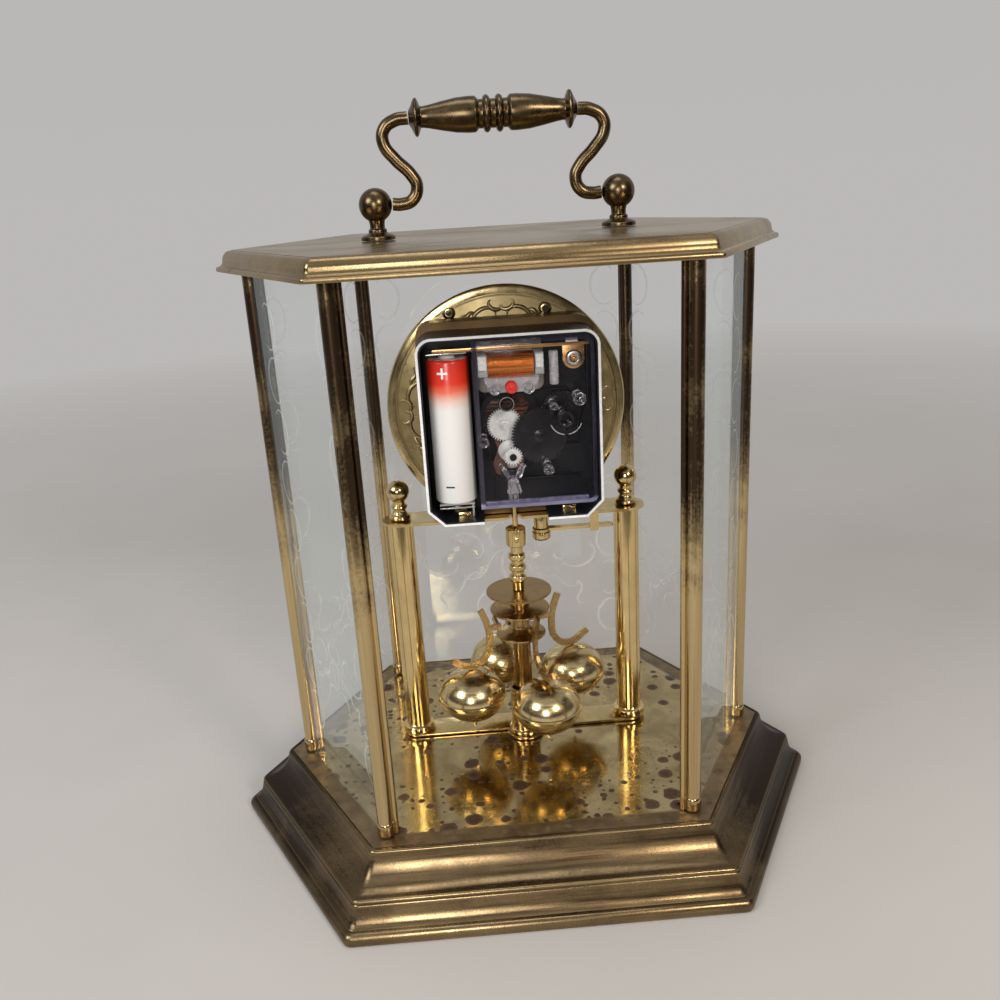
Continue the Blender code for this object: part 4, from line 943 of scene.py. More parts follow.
def makeLockScrew():
    x, y = middle("lock_screw", 0), middle("lock_screw", 1)
    bottom, tall = low("lock_screw", 2), size("lock_screw", 2)
    head = screw["head"]
    profile = [(0, 0), (head - 0.9 * mm, 0), (head - 0.25 * mm, 0.35 * mm), (head, 0.9 * mm),
               (head, screw["headTall"]), (screw["shank"], screw["headTall"]),
               (screw["shank"], screw["washer"]), (screw["collar"], screw["washer"]),
               (screw["collar"], tall), (0, tall)]
    turned("lockScrew", profile, brightBrass, "clock", (x, y, bottom), steps=56, ease=0.1 * mm,
           stands=["lock_screw"])
    block("lockScrewSlot", screw["slot"], (x, y, bottom + 0.05 * mm), slotDark, "clock", 0, (0, 0, 0.6))


makeStand()
print("stand made")


# torsion pendulum: rod, grooved spindle, regulator disc, hub, arms, balls and the guide cup
pendulum = {
    "sleeve": [(0, 107.0), (3.4, 107.0), (3.6, 106.8), (3.6, 100.7), (3.4, 100.5), (2.25, 100.4)],
    "bands": [(97.2, 95.1), (93.0, 90.9), (89.0, 86.7)],
    "shaft": 2.2, "band": 3.1, "bandEase": 0.35, "screwPlace": (0, 3.3, 103.6),
    "disc": 11.9, "discTop": 83.0, "discBottom": 82.1,
    "hub": [(0, 81.8), (3.5, 81.8), (3.6, 81.6), (3.6, 79.9), (4.7, 79.7), (4.7, 78.4), (3.6, 78.2),
            (3.6, 76.05), (10.6, 76.05), (10.9, 75.85), (10.9, 75.25), (10.6, 75.05), (4.4, 74.95),
            (3.3, 74.2), (3.1, 71.0), (3.5, 68.4), (5.2, 66.9), (7.4, 66.35), (8.8, 66.2), (9.1, 66.0),
            (9.1, 65.4), (8.8, 65.15), (4.3, 64.9), (4.3, 63.3), (3.3, 63.1), (3.3, 50.0), (3.3, 37.0),
            (3.0, 36.2), (2.4, 36.0), (0, 36.0)],
    "ball": 12.0, "ballHalf": 10.0, "seam": 0.5, "hole": 0.9, "pin": 3.2, "taper": 1.14,
}


def makePendulum():
    shaft, band, soft = pendulum["shaft"] * mm, pendulum["band"] * mm, pendulum["bandEase"] * mm
    line = sized(pendulum["sleeve"])
    for top, bottom in pendulum["bands"]:
        top, bottom = top * mm, bottom * mm
        line += [(shaft, top + soft), (band - soft, top + 0.1 * mm), (band, top - soft),
                 (band, bottom + soft), (band - soft, bottom - 0.1 * mm), (shaft, bottom - soft)]
    end = low("pendulum_spindle", 2)
    line += [(shaft, end), (0, end)]
    turned("spindle", line, brightBrass, "pendulum", steps=56, ease=0.12 * mm, stands=["pendulum_spindle"])
    dressNode("suspension_rod", brightBrass)
    turned("sleeveScrew", sized([(0, 1.0), (0.7, 1.0), (0.95, 0.8), (0.95, 0), (0, 0)]), brightBrass,
           "pendulum", sized([pendulum["screwPlace"]])[0], faceRear, steps=28)
    radius = pendulum["disc"] * mm
    top, bottom = pendulum["discTop"] * mm, pendulum["discBottom"] * mm
    turned("regulator", [(0, top), (radius - 0.2 * mm, top), (radius, top - 0.2 * mm),
                         (radius, bottom + 0.2 * mm), (radius - 0.2 * mm, bottom), (0, bottom)], discBrass,
           "pendulum", steps=96, stands=["regulator_disc"])
    turned("pendulumHub", sized(pendulum["hub"]), discBrass, "pendulum", steps=80, ease=0.12 * mm,
           stands=["pendulum_hub"])
    for i in range(4):
        makeArm(i + 1)
        makeBall(i + 1)


# an arm is flat sheet seen on edge, bent in its own upright plane
def makeArm(number):
    node = "pendulum_arm_%d" % number
    dressNode(node, armBrass)
    easeNode(node, 0.18 * mm)


# two pressed halves with a raised seam, a drilled top and a pin below
def makeBall(number):
    node = "pendulum_ball_%d" % number
    wide, half, seam, hole = (pendulum[key] * mm for key in ("ball", "ballHalf", "seam", "hole"))
    tip, taper = -half - pendulum["pin"] * mm, pendulum["taper"]
    z = high(node, 2) - half
    upper = [(wide * cos(a), half * sin(a)) for a in (pi / 2 * i / 26 for i in range(27))]
    upper = [(r, h) for r, h in upper if r > hole and h > 0.6 * mm]
    lower = [(wide * (r / wide) ** taper, -h) for r, h in upper]  # draws in toward the pin
    profile = [(0, half - 1.4 * mm), (hole - 0.1 * mm, half - 1.3 * mm), (hole, half - 0.15 * mm)]
    profile += reversed(upper)
    profile += [(wide + seam * 0.4, 0.55 * mm), (wide + seam, 0.3 * mm), (wide + seam, 0.05 * mm),
                (wide + seam * 0.3, 0), (wide + seam, -0.05 * mm), (wide + seam, -0.3 * mm),
                (wide + seam * 0.4, -0.55 * mm)]
    profile += [(r, h) for r, h in lower if r > hole + 0.1 * mm]
    profile += [(0.9 * mm, -half + 0.1 * mm), (0.7 * mm, -half - 0.2 * mm), (0.7 * mm, tip + 0.2 * mm),
                (0.5 * mm, tip), (0, tip)]
    turned("ball_%d" % number, profile, ballBrass, "pendulum", (middle(node, 0), middle(node, 1), z),
           steps=80, stands=[node])


# guide cup on the floor, in which the pendulum's tube turns
def makeCup():
    bottom = low("guide_cup", 2)
    tall = size("guide_cup", 2)
    profile = [(4.4 * mm, tall - 0.2 * mm), (4.6 * mm, tall), (5.0 * mm, tall), (5.2 * mm, tall - 0.2 * mm),
               (5.2 * mm, tall - 1.6 * mm), (5.05 * mm, tall - 1.8 * mm), (5.2 * mm, tall - 2.0 * mm),
               (5.2 * mm, 1.8 * mm), (5.5 * mm, 1.4 * mm), (6.0 * mm, 1.3 * mm), (6.1 * mm, 1.1 * mm),
               (6.1 * mm, 0.2 * mm), (5.9 * mm, 0), (0, 0), (0, 1.2 * mm), (4.2 * mm, 1.2 * mm),
               (4.4 * mm, 1.4 * mm)]
    turned("guideCup", profile, brightBrass, "clock", (0, 0, bottom), steps=72, ease=0.08 * mm,
           stands=["guide_cup"])


makePendulum()
makeCup()
print("pendulum made")


# dial: a sheet with pressed scrolls at the back, chapter ring and numbers at the front
dialSizes = {
    "bore": 3.75 * mm, "chapterOut": 37.5 * mm, "chapterIn": 26.5 * mm, "step": 0.4 * mm,
    "stroke": 0.75 * mm, "thin": 0.35 * mm, "tall": 6.4 * mm, "serif": 0.25 * mm, "inkLift": 0.06 * mm,
    "letters": {"I": 1.5 * mm, "V": 3.6 * mm, "X": 3.6 * mm},
    "numbers": ("XII", "I", "II", "III", "IIII", "V", "VI", "VII", "VIII", "IX", "X", "XI"),
    # one field of the scrolls at the back: across, up, height, lean, shape
    "fields": 8, "scrolls": [(6.2, 31.0, 8.4, 2.5, "C"), (2.0, 35.6, 4.6, 0.4, "C"),
                             (11.6, 32.6, 4.8, -0.9, "S")],
    "rings": (24.2, 38.6, 39.8), "screws": ((18.2, 182.3), (-15.2, 181.9)),
}


def makeDial():
    rear, front = high("dial_plate", 1), low("dial_plate", 1)
    outer, tall = size("dial_plate", 0) / 2, rear - front
    bore, step = dialSizes["bore"], dialSizes["step"]
    chapterOut, chapterIn = dialSizes["chapterOut"], dialSizes["chapterIn"]
    profile = [(bore, 0), (bore, tall - step), (chapterIn - 0.5 * mm, tall - step), (chapterIn, tall),
               (chapterOut, tall), (chapterOut + 0.5 * mm, tall - step), (outer, tall - step), (outer, 0)]
    turned("dialSheet", profile, dialBrass, "clock", (0, rear, dialZ), faceFront, 160, 0.1 * mm, True,
           ["dial_plate"])
    makeBezel()
    makeChapter(front)
    turned("dialNut", sized([(4.0, 0), (6.0, 0), (6.0, 1.2), (5.6, 1.6), (4.0, 1.6)]), brightBrass, "clock",
           (0, high("dial_nut", 1), dialZ), faceFront, 6, 0.0, True, ["dial_nut"])


# thin rim rolled round the sheet
def makeBezel():
    rear, front = high("dial_bezel", 1), low("dial_bezel", 1)
    deep = rear - front
    out = size("dial_bezel", 0) / 2
    profile = [(out - 3.0 * mm, 0.3 * mm), (out - 2.9 * mm, 0.0), (out - 1.2 * mm, 0.0),
               (out - 0.4 * mm, 0.2 * mm), (out, 0.8 * mm), (out, deep - 0.8 * mm),
               (out - 0.4 * mm, deep - 0.1 * mm), (out - 0.9 * mm, deep), (out - 2.0 * mm, deep - 0.5 * mm),
               (out - 2.9 * mm, deep - 1.6 * mm), (out - 3.0 * mm, deep - 2.2 * mm),
               (out - 2.6 * mm, deep - 2.0 * mm), (out - 1.8 * mm, deep - 1.1 * mm),
               (out - 0.8 * mm, deep - 0.9 * mm), (out - 0.8 * mm, 0.6 * mm), (out - 1.2 * mm, 0.4 * mm)]
    turned("dialBezel", profile, bezelBrass, "clock", (0, rear, dialZ), faceFront, 180, 0.0, True,
           ["dial_bezel"])


# strokes of one hour number, each as start, end and thickness
def numberStrokes(text, level):
    letters, tall = dialSizes["letters"], dialSizes["tall"]
    stroke, thin, serif = dialSizes["stroke"], dialSizes["thin"], dialSizes["serif"]
    total = sum(letters[letter] for letter in text)
    x = -total / 2
    found = []
    for letter in text:
        middleX, w = x + letters[letter] / 2, letters[letter] * 0.36
        if letter == "I":
            bars = [((0, -tall / 2), (0, tall / 2), stroke)]
        elif letter == "V":
            bars = [((-w, tall / 2), (0, -tall / 2), stroke), ((w, tall / 2), (0, -tall / 2), thin)]
        else:
            bars = [((-w, tall / 2), (w, -tall / 2), stroke), ((w, tall / 2), (-w, -tall / 2), thin)]
        for (ax, ay), (bx, by), thick in bars:
            found.append(((middleX + ax, level + ay), (middleX + bx, level + by), thick))
        x += letters[letter]
    for z in (level + tall / 2, level - tall / 2):
        found.append(((-total / 2, z), (total / 2, z), serif))
    return found


# printed white ring with hour numbers and minute strokes
def makeChapter(front):
    out, inside = dialSizes["chapterOut"] - 0.3 * mm, dialSizes["chapterIn"] + 0.3 * mm
    turned("chapterRing", [(inside, 0), (out, 0), (out, 0.04 * mm), (inside, 0.04 * mm)], chapterWhite,
           "clock", (0, front, dialZ), faceFront, 160, 0.0, True)
    level = (out + inside) / 2 - 0.6 * mm
    trackIn, trackOut = out - 1.6 * mm, out - 0.6 * mm
    ink = front - dialSizes["inkLift"]
    lines = []
    for hour, text in enumerate(dialSizes["numbers"]):
        lines += [(*line, radians(30 * hour)) for line in numberStrokes(text, level)]
    for minute in range(60):
        thick = 0.5 * mm if minute % 5 == 0 else 0.2 * mm
        lines.append(((0, trackIn), (0, trackOut), thick, radians(6 * minute)))
    bm = bmesh.new()
    for (ax, ay), (bx, by), thick, angle in lines:
        run = hypot(bx - ax, by - ay)
        nx, ny = -(by - ay) / run * thick / 2, (bx - ax) / run * thick / 2
        corners = [(ax + nx, ay + ny), (bx + nx, by + ny), (bx - nx, by - ny), (ax - nx, ay - ny)]
        c, s = cos(angle), sin(angle)
        turn = [(px * c + py * s, py * c - px * s) for px, py in corners]
        bm.faces.new([bm.verts.new((px, ink, dialZ + pz)) for px, pz in turn])
    for radius in (trackOut, trackIn):
        loops = []
        for r in (radius - 0.06 * mm, radius + 0.06 * mm):
            loops.append([bm.verts.new((x, ink, z)) for x, z in arc(0, dialZ, r, 0, 2 * pi, 120)[:-1]])
        skinLoops(bm, [loops])
    settle(putObject("chapterPrint", meshFrom("chapterPrint", bm, smooth=False)), printBlack, "clock")


# black hands with small bevels, and a cap over their middle
def makeHands():
    for node in ("hour_hand", "minute_hand"):
        dressNode(node, handBlack)
        easeNode(node, 0.06 * mm)
    turned("handCap", sized([(0, 0.25), (0.9, 0.2), (1.6, 0.0), (1.6, -0.1), (0, -0.1)]), brightBrass,
           "minute_works", (0, low("minute_hand", 1) + 0.25 * mm, dialZ), faceFront, 40)


# pressed leaf scrolls at the back of the sheet, mirrored in each field, between raised rings
def makeDialScrolls():
    y = high("dial_plate", 1)
    curve = bpy.data.curves.new("dialScrolls", "CURVE")
    curve.dimensions = "3D"
    curve.bevel_depth = 0.85 * mm
    curve.bevel_resolution = 3
    for i in range(dialSizes["fields"]):
        turn = 2 * pi * i / dialSizes["fields"]
        c, s = cos(turn), sin(turn)
        for flip in (-1, 1):
            for x, up, tall, lean, shape in dialSizes["scrolls"]:
                line = scrollLine(x * mm, up * mm, tall * mm, lean, shape, 1, 36)
                spline = curve.splines.new("POLY")
                spline.points.add(len(line) - 1)
                for number, (point, (px, pz)) in enumerate(zip(spline.points, line)):
                    px *= flip
                    point.co = (px * c + pz * s, -0.3 * mm, pz * c - px * s, 1)
                    point.radius = 0.4 + 0.6 * sin(pi * number / 35)
    settle(putObject("dialScrolls", curve, (0, y, dialZ)), dialBrass, "clock")
    for number, radius in enumerate(dialSizes["rings"]):
        r = radius * mm
        profile = [(r, 0), (r + 0.15 * mm, 0.3 * mm), (r + 0.45 * mm, 0.3 * mm), (r + 0.6 * mm, 0)]
        turned("dialRing_%d" % number, profile, dialBrass, "clock", (0, y - 0.1 * mm, dialZ), faceRear, 120)


# two screws with drilled heads near the dial's upper edge
def makeDialScrews():
    for side, z in dialSizes["screws"]:
        place = (side * mm, high("dial_plate", 1) - 0.15 * mm, z * mm)
        profile = sized([(0, 0.25), (0.75, 0.25), (1.0, 0.7), (1.55, 0.72), (2.3, 0.25), (2.4, 0), (0, 0)])
        turned("dialScrew_%d" % round(side), profile, bezelBrass, "clock", place, faceRear, 40)
        hole = sized([(0, 0.32), (0.75, 0.32), (0.8, 0), (0, 0)])
        turned("dialScrewHole_%d" % round(side), hole, slotDark, "clock", place, faceRear, 24)


makeDial()
makeHands()
makeDialScrolls()
makeDialScrews()
dressNode("dial_spacer", spacerBrass)
print("dial made")


# movement: black case with a pale rim, clear cover, cell, coil, wheels and studs
movement = {
    "half": 30.2 * mm, "bottom": 113.6 * mm, "top": 178.0 * mm, "corner": 5.5 * mm, "chamfer": 5.6 * mm,
    "notch": 11.0 * mm, "rim": 0.95 * mm,
    "coverLeft": -28.4 * mm, "coverRight": 11.8 * mm, "coverBottom": 118.6 * mm, "coverTop": 176.2 * mm,
    "coverCorner": 3.6 * mm, "slope": 1.5 * mm, "sheet": 0.8 * mm, "knobHole": 3.4 * mm,
    # ribs on the floor of the case: across, up, wide, tall
    "ribs": [(7.6, 145.5, 0.7, 27), (3.2, 131.8, 9.0, 0.7), (-17.5, 136.5, 12, 0.7), (-24.0, 146.5, 0.7, 20),
             (-6.5, 156.2, 28, 0.6), (-13, 125.0, 24, 0.7), (5.6, 122.0, 0.7, 10), (-27.4, 160, 0.8, 22)],
    "ribDeep": 2.4,
}


# half of the rim line, from the notch round to the middle of the top
def rimHalf(inset):
    half, bottom, top = movement["half"] - inset, movement["bottom"] + inset, movement["top"] - inset
    cut = movement["chamfer"] - inset * 0.6
    line = [(movement["notch"], bottom), (half - cut, bottom), (half, bottom + cut)]
    return line + arc(half - movement["corner"] + inset, top - movement["corner"] + inset,
                      movement["corner"] - inset, 0, pi / 2, 16)


def mirrored(points):
    return [(-x, z) for x, z in reversed(points)]


# pale rim and ribs on the black case
def makeMovementCase():
    dressNode("movement_case", blackCase)
    outer, inner = rimHalf(0), rimHalf(movement["rim"])
    rear = high("movement_case", 1)
    outline = outer + mirrored(outer) + [(-x, z) for x, z in inner] + list(reversed(inner))
    plate("caseRim", outline, 0.5 * mm, rimGrey, "clock", (0, rear - 0.21 * mm, 0), faceFront,
          edge=0.12 * mm)
    deep = movement["ribDeep"] * mm
    for number, (x, z, wide, tall) in enumerate(movement["ribs"]):
        block("caseRib_%d" % number, (wide * mm, deep, tall * mm), (x * mm, -deep / 2, z * mm), blackCase,
              "clock", 0.15 * mm)


# outline of the clear cover, drawn in by an inset
def coverOutline(inset):
    left, right = movement["coverLeft"] + inset, movement["coverRight"] - inset
    bottom, top = movement["coverBottom"] + inset, movement["coverTop"] - inset
    corner = movement["coverCorner"] - inset * 0.5
    return ([(right, bottom), (right, top)] + arc(left + corner, top - corner, corner, pi / 2, pi, 12)
            + arc(left + corner * 0.6, bottom + corner * 0.6, corner * 0.6, pi, 3 * pi / 2, 6))


# clear cover with sloping edges and a hole for the setting knob
def makeCover():
    rear, slope = high("movement_cover", 1), movement["slope"]
    knobX, knobZ = middle("setting_knob", 0), middle("setting_knob", 2)
    hole = arc(knobX, knobZ, movement["knobHole"], 0, 2 * pi, 48)[:-1]
    plate("coverPanel", coverOutline(slope), movement["sheet"], coverClear, "clock",
          (0, rear - 0.42 * mm, 0), faceFront, edge=0.1 * mm, holes=[hole], stands=["movement_cover"])
    section = [(slope, rear - 0.03 * mm), (0, rear - 1.2 * mm), (0, rear - 2.4 * mm),
               (0.7 * mm, rear - 2.4 * mm), (0.7 * mm, rear - 1.5 * mm), (slope, rear - 0.85 * mm)]
    bm = bmesh.new()
    loops = [[bm.verts.new((x, y, z)) for x, z in coverOutline(inset)] for inset, y in section]
    skinLoops(bm, zip(loops, loops[1:] + loops[:1]))
    settle(putObject("coverSkirt", meshFrom("coverSkirt", bm, 0.5)), coverEdge, "clock")
    # thick moulded bar along the foot of the cover
    left, right = movement["coverLeft"] + 3.2 * mm, movement["coverRight"] - slope
    place = ((left + right) / 2, rear - 1.5 * mm, movement["coverBottom"] + slope + 0.6 * mm)
    block("coverFoot", (right - left, 1.4 * mm, 1.4 * mm), place, coverBar, "clock", 0.3 * mm)


# the plus and minus lie on the cell's sleeve
cell = {"radius": 7.1 * mm, "plusZ": 166.2 * mm, "minusZ": 127.3 * mm, "sign": 3.6 * mm, "stroke": 0.72 * mm,
        "turn": radians(16)}


# a printed patch that follows the round of the sleeve
def sleevePatch(name, middleTurn, halfWide, z, halfTall, mat):
    x, y = middle("battery", 0), middle("battery", 1)
    reach = cell["radius"] + 0.03 * mm
    spread = halfWide / reach
    bm = bmesh.new()
    rows = []
    for i in range(7):
        turn = middleTurn - spread + 2 * spread * i / 6
        rows.append([bm.verts.new((x + reach * sin(turn), y + reach * cos(turn), z + tall))
                     for tall in (-halfTall, halfTall)])
    for a, b in zip(rows, rows[1:]):
        bm.faces.new((a[0], a[1], b[1], b[0]))
    settle(putObject(name, meshFrom(name, bm)), mat, "cell")


# the cell stands on its rolled end, with its cap up
def makeCell():
    bottom, tall = low("battery", 2), size("battery", 2)
    r, body = cell["radius"], tall - 1.0 * mm
    profile = [(0, tall), (2.4 * mm, tall), (2.7 * mm, tall - 0.25 * mm), (2.75 * mm, body + 0.05 * mm),
               (5.2 * mm, body), (5.7 * mm, body + 0.05 * mm), (6.4 * mm, body - 0.1 * mm),
               (r - 0.15 * mm, body - 0.5 * mm), (r, body - 1.0 * mm), (r, body / 2), (r, 1.0 * mm),
               (r - 0.15 * mm, 0.5 * mm), (6.4 * mm, 0.1 * mm), (5.6 * mm, 0.15 * mm), (5.0 * mm, 0.0),
               (0, 0)]
    turned("cellBody", profile, cellSleeve, "cell", (middle("battery", 0), middle("battery", 1), bottom),
           steps=72, stands=["battery"])
    half, stroke = cell["sign"] / 2, cell["stroke"] / 2
    sleevePatch("plusAcross", cell["turn"], half, cell["plusZ"], stroke, printWhite)
    sleevePatch("plusUp", cell["turn"], stroke, cell["plusZ"], half, printWhite)
    sleevePatch("minusAcross", cell["turn"], half * 0.85, cell["minusZ"], stroke * 0.8, printBlack)


# contacts: spring plates at both ends of the cell, and a long copper-gold strip to a riveted eyelet
contacts = {
    "plate": (13.4 * mm, 8.2 * mm, 0.5 * mm), "lowPlate": (12.0 * mm, 8.2 * mm, 0.5 * mm),
    "spring": 2.2 * mm, "wire": 0.3 * mm, "springFoot": 118.0 * mm, "springRise": 0.06 * mm,
    "strip": (51.9 * mm, 0.6 * mm, 1.15 * mm), "stripPlace": (-1.25 * mm, 9.0 * mm, 173.0 * mm),
    "eye": (-21.9 * mm, 8.3 * mm, 168.0 * mm),
}


def makeContacts():
    x, y = middle("battery", 0), middle("battery", 1)
    block("topContact", contacts["plate"], (x + 0.3 * mm, y, low("contact_positive", 2) + 0.35 * mm),
          contactSteel, "clock", 0.12 * mm, stands=["contact_positive"])
    block("leadStrip", contacts["strip"], contacts["stripPlace"], stripCopper, "clock", 0.12 * mm,
          (0, -0.003, 0))
    block("lowContact", contacts["lowPlate"], (x, y, middle("contact_negative", 2) + 0.9 * mm), contactSteel,
          "clock", 0.1 * mm)
    dressNode("contact_negative", contactSteel)
    spring = contacts["spring"]
    coilLine = [(x + spring * cos(t * 0.5), y + spring * sin(t * 0.5),
                 contacts["springFoot"] + t * contacts["springRise"]) for t in range(38)]
    tube("lowSpring", coilLine, contacts["wire"], contactSteel, "clock", sides=3)
    makeEyelet(*contacts["eye"])


# riveted eyelet on its plate, at the end of the long strip
def makeEyelet(x, y, z):
    outline = arc(0, 0, 3.7 * mm, pi * 1.05, pi * 1.95, 20) + sized([(3.6, 4.2), (-3.6, 4.2)])
    plate("eyeletPlate", outline, 0.5 * mm, stripCopper, "clock", (x, y - 1.0 * mm, z), faceFront,
          edge=0.1 * mm)
    place = (x, y - 0.8 * mm, z)
    ring = sized([(0.9, 0), (0.9, 1.0), (1.5, 1.5), (2.3, 1.4), (2.7, 0.8), (2.8, 0)])
    turned("eyelet", ring, contactSteel, "clock", place, faceRear, 48, 0.1 * mm, True)
    pin = sized([(0, 1.3), (0.5, 1.2), (0.85, 0.8), (0.85, 0), (0, 0)])
    turned("eyeletPin", pin, stripCopper, "clock", place, faceRear, 32)
    block("eyeletTab", (4.0 * mm, 1.2 * mm, 1.5 * mm), (x + 0.7 * mm, y + 0.5 * mm, z + 6.2 * mm),
          wheelWhite, "clock", 0.2 * mm)


# gold tabs that hold the case on the strip
def makeTabs():
    for name, x in (("left", 17.4), ("right", -18.6)):
        block("caseTab_" + name, (4.8 * mm, 1.0 * mm, 2.4 * mm), (x * mm, 8.6 * mm, 116.0 * mm), brightBrass,
              "clock", 0.25 * mm, (0.12, 0, 0.03))
        block("caseTabHook_" + name, (1.5 * mm, 1.2 * mm, 1.3 * mm), ((x - 1.0) * mm, 9.3 * mm, 116.3 * mm),
              brightBrass, "clock", 0.3 * mm)


# coil: a bank of fine turns between white cheeks on a milky carrier
coil = {
    "from": -8.4 * mm, "to": 6.9 * mm, "radius": 4.55 * mm, "turns": 34,
    "cheeks": {"right": (8.6, 1.7), "left": (-10.2, 1.5)},  # middle and half width
    "carrier": (-12.2, 10.4, 157.0, 172.0), "carrierCorner": 2.6 * mm,  # left, right, bottom, top
    "apron": [(8.6, 163.2), (-10.6, 163.2), (-9.6, 160.0), (-6.4, 157.6), (4.4, 157.6), (7.6, 160.0)],
    "ribs": (7.0, 3.0, -4.6, -8.4),
}


def makeCoil():
    x0, x1, r = coil["from"], coil["to"], coil["radius"]
    pitch = (x1 - x0) / coil["turns"]
    profile = [(0, x0), (r - 0.3 * mm, x0)]
    for i in range(coil["turns"]):
        for share, dip in ((0.0, 1.0), (0.2, 0.35), (0.5, 0.0), (0.8, 0.35)):
            profile.append((r - dip * pitch * 0.42, x0 + pitch * (i + share)))
    profile += [(r - 0.3 * mm, x1), (0, x1)]
    y, z = middle("coil_winding", 1), middle("coil_bobbin", 2)
    turned("coilTurns", profile, copperWire, "clock", (0, y, z), alongX, 48, stands=["coil_winding"])
    for name, (x, half) in coil["cheeks"].items():
        block("coilCheek_" + name, (half * 2 * mm, 8.6 * mm, 7.4 * mm), (x * mm, y, z + 0.4 * mm),
              milkPlastic, "clock", 0.4 * mm, stands=["coil_bobbin"] if name == "right" else ())
        block("coilCheekTop_" + name, (half * 1.7 * mm, 1.6 * mm, 4.6 * mm),
              (x * mm, y + 4.4 * mm, z + 1.4 * mm), wheelWhite, "clock", 0.3 * mm)
    corner = coil["carrierCorner"]
    left, right, bottom, top = (v * mm for v in coil["carrier"])
    outline = [(right, top), (left, top)] + arc(left + corner, bottom + corner, corner, pi, 3 * pi / 2, 10)
    outline += arc(right - corner, bottom + corner, corner, 3 * pi / 2, 2 * pi, 10)
    plate("coilCarrier", outline, 0.9 * mm, carrierGrey, "clock", (0, 1.9 * mm, 0), faceFront,
          edge=0.25 * mm)
    dressNode("stator_plate", contactSteel)
    plate("coilApron", easeCorners(sized(coil["apron"]), 1.2 * mm, True), 1.4 * mm, milkPlastic, "clock",
          (0, 6.8 * mm, 0), faceFront, edge=0.3 * mm)
    for number, x in enumerate(coil["ribs"]):
        block("carrierRib_%d" % number, (0.8 * mm, 3.0 * mm, 5.4 * mm), (x * mm, 3.6 * mm, 160.6 * mm),
              milkPlastic, "clock", 0.2 * mm)


# the toothed line of a wheel
def toothed(radius, teeth, depth):
    points = []
    for i in range(teeth):
        for share, inward in ((-0.32, 1), (-0.16, 0), (0.16, 0), (0.32, 1)):
            turn = 2 * pi * (i + share) / teeth
            points.append(((radius - depth * inward) * cos(turn), (radius - depth * inward) * sin(turn)))
    return points


# a toothed wheel and its stepped hub
def wheelPiece(name, mat, body, x, y, z, radius, teeth, thick, hub, stands=()):
    plate(name, toothed(radius, teeth, 0.75 * mm), thick, mat, body, (x, y, z), faceFront, edge=0.06 * mm,
          stands=stands)
    profile = [(0, 1.4 * mm), (hub * 0.45, 1.4 * mm), (hub * 0.5, 1.2 * mm), (hub * 0.5, 0.8 * mm),
               (hub, 0.7 * mm), (hub, 0), (0, 0)]
    turned(name + "Hub", profile, mat, body, (x, y + thick / 2 - 0.1 * mm, z), faceRear, 40, 0.1 * mm)


# places, sizes and tooth counts of the wheels, with depth counted from the post axes
wheels = {
    "third": {"y": 5.0 * mm, "radius": 9.7 * mm, "teeth": 56, "thick": 1.0 * mm, "hub": 2.2 * mm},
    "drive": {"y": 7.1 * mm, "radius": 3.3 * mm, "teeth": 20, "thick": 1.0 * mm, "hub": 1.3 * mm},
    "pale": {"x": 1.9 * mm, "y": 2.6 * mm, "z": 145.6 * mm, "radius": 6.0 * mm, "teeth": 40,
             "thick": 0.9 * mm, "hub": 1.6 * mm},
    "knob": {"y": 1.0 * mm, "radius": 7.4 * mm, "teeth": 44, "thick": 1.0 * mm, "hub": 2.0 * mm},
    "discPlace": (0.9 * mm, 3.0 * mm, 136.6 * mm),
    "knobHeadPlace": 10.85 * mm, "knobKeyPlace": 7.2 * mm, "knobKey": 9.0 * mm, "knobHighlightArc": 5.4 * mm,
}


def makeWheels():
    dressNode("centre_wheel", wheelBlack)
    x, z = middle("third_wheel", 0), middle("third_wheel", 2)
    wheelPiece("thirdWheel", wheelBlack, "third_works", x=x, z=z, **wheels["third"])
    arbor = sized([(0, 7.5), (0.5, 7.4), (0.8, 7.0), (0.8, -0.7), (0, -0.7)])
    turned("thirdArbor", arbor, wheelBlack, "third_works", (x, 0, z), faceRear, 24, stands=["third_wheel"])
    x, z = middle("drive_wheel", 0), middle("drive_wheel", 2)
    wheelPiece("driveWheel", wheelWhite, "drive_works", x=x, z=z, **wheels["drive"], stands=["drive_wheel"])
    arbor = sized([(0, 8.6), (0.4, 8.5), (0.6, 8.2), (0.6, -0.7), (0, -0.7)])
    turned("driveArbor", arbor, slotDark, "drive_works", (x, 0, z), faceRear, 24)
    hub = sized([(0, 1.5), (0.9, 1.5), (1.2, 1.2), (1.2, 0), (0, 0)])
    turned("driveHub", hub, wheelBlack, "drive_works", (x, 7.75 * mm, z), faceRear, 32)
    # the pale disc under the small wheel and the large pale wheel above it
    disc = sized([(0, 0.9), (3.3, 0.9), (3.7, 0.6), (3.7, 0), (0, 0)])
    turned("paleDisc", disc, wheelWhite, "clock", wheels["discPlace"], faceRear, 48)
    wheelPiece("paleWheel", wheelWhite, "clock", **wheels["pale"])
    makeKnob(middle("setting_knob", 0), middle("setting_knob", 2))
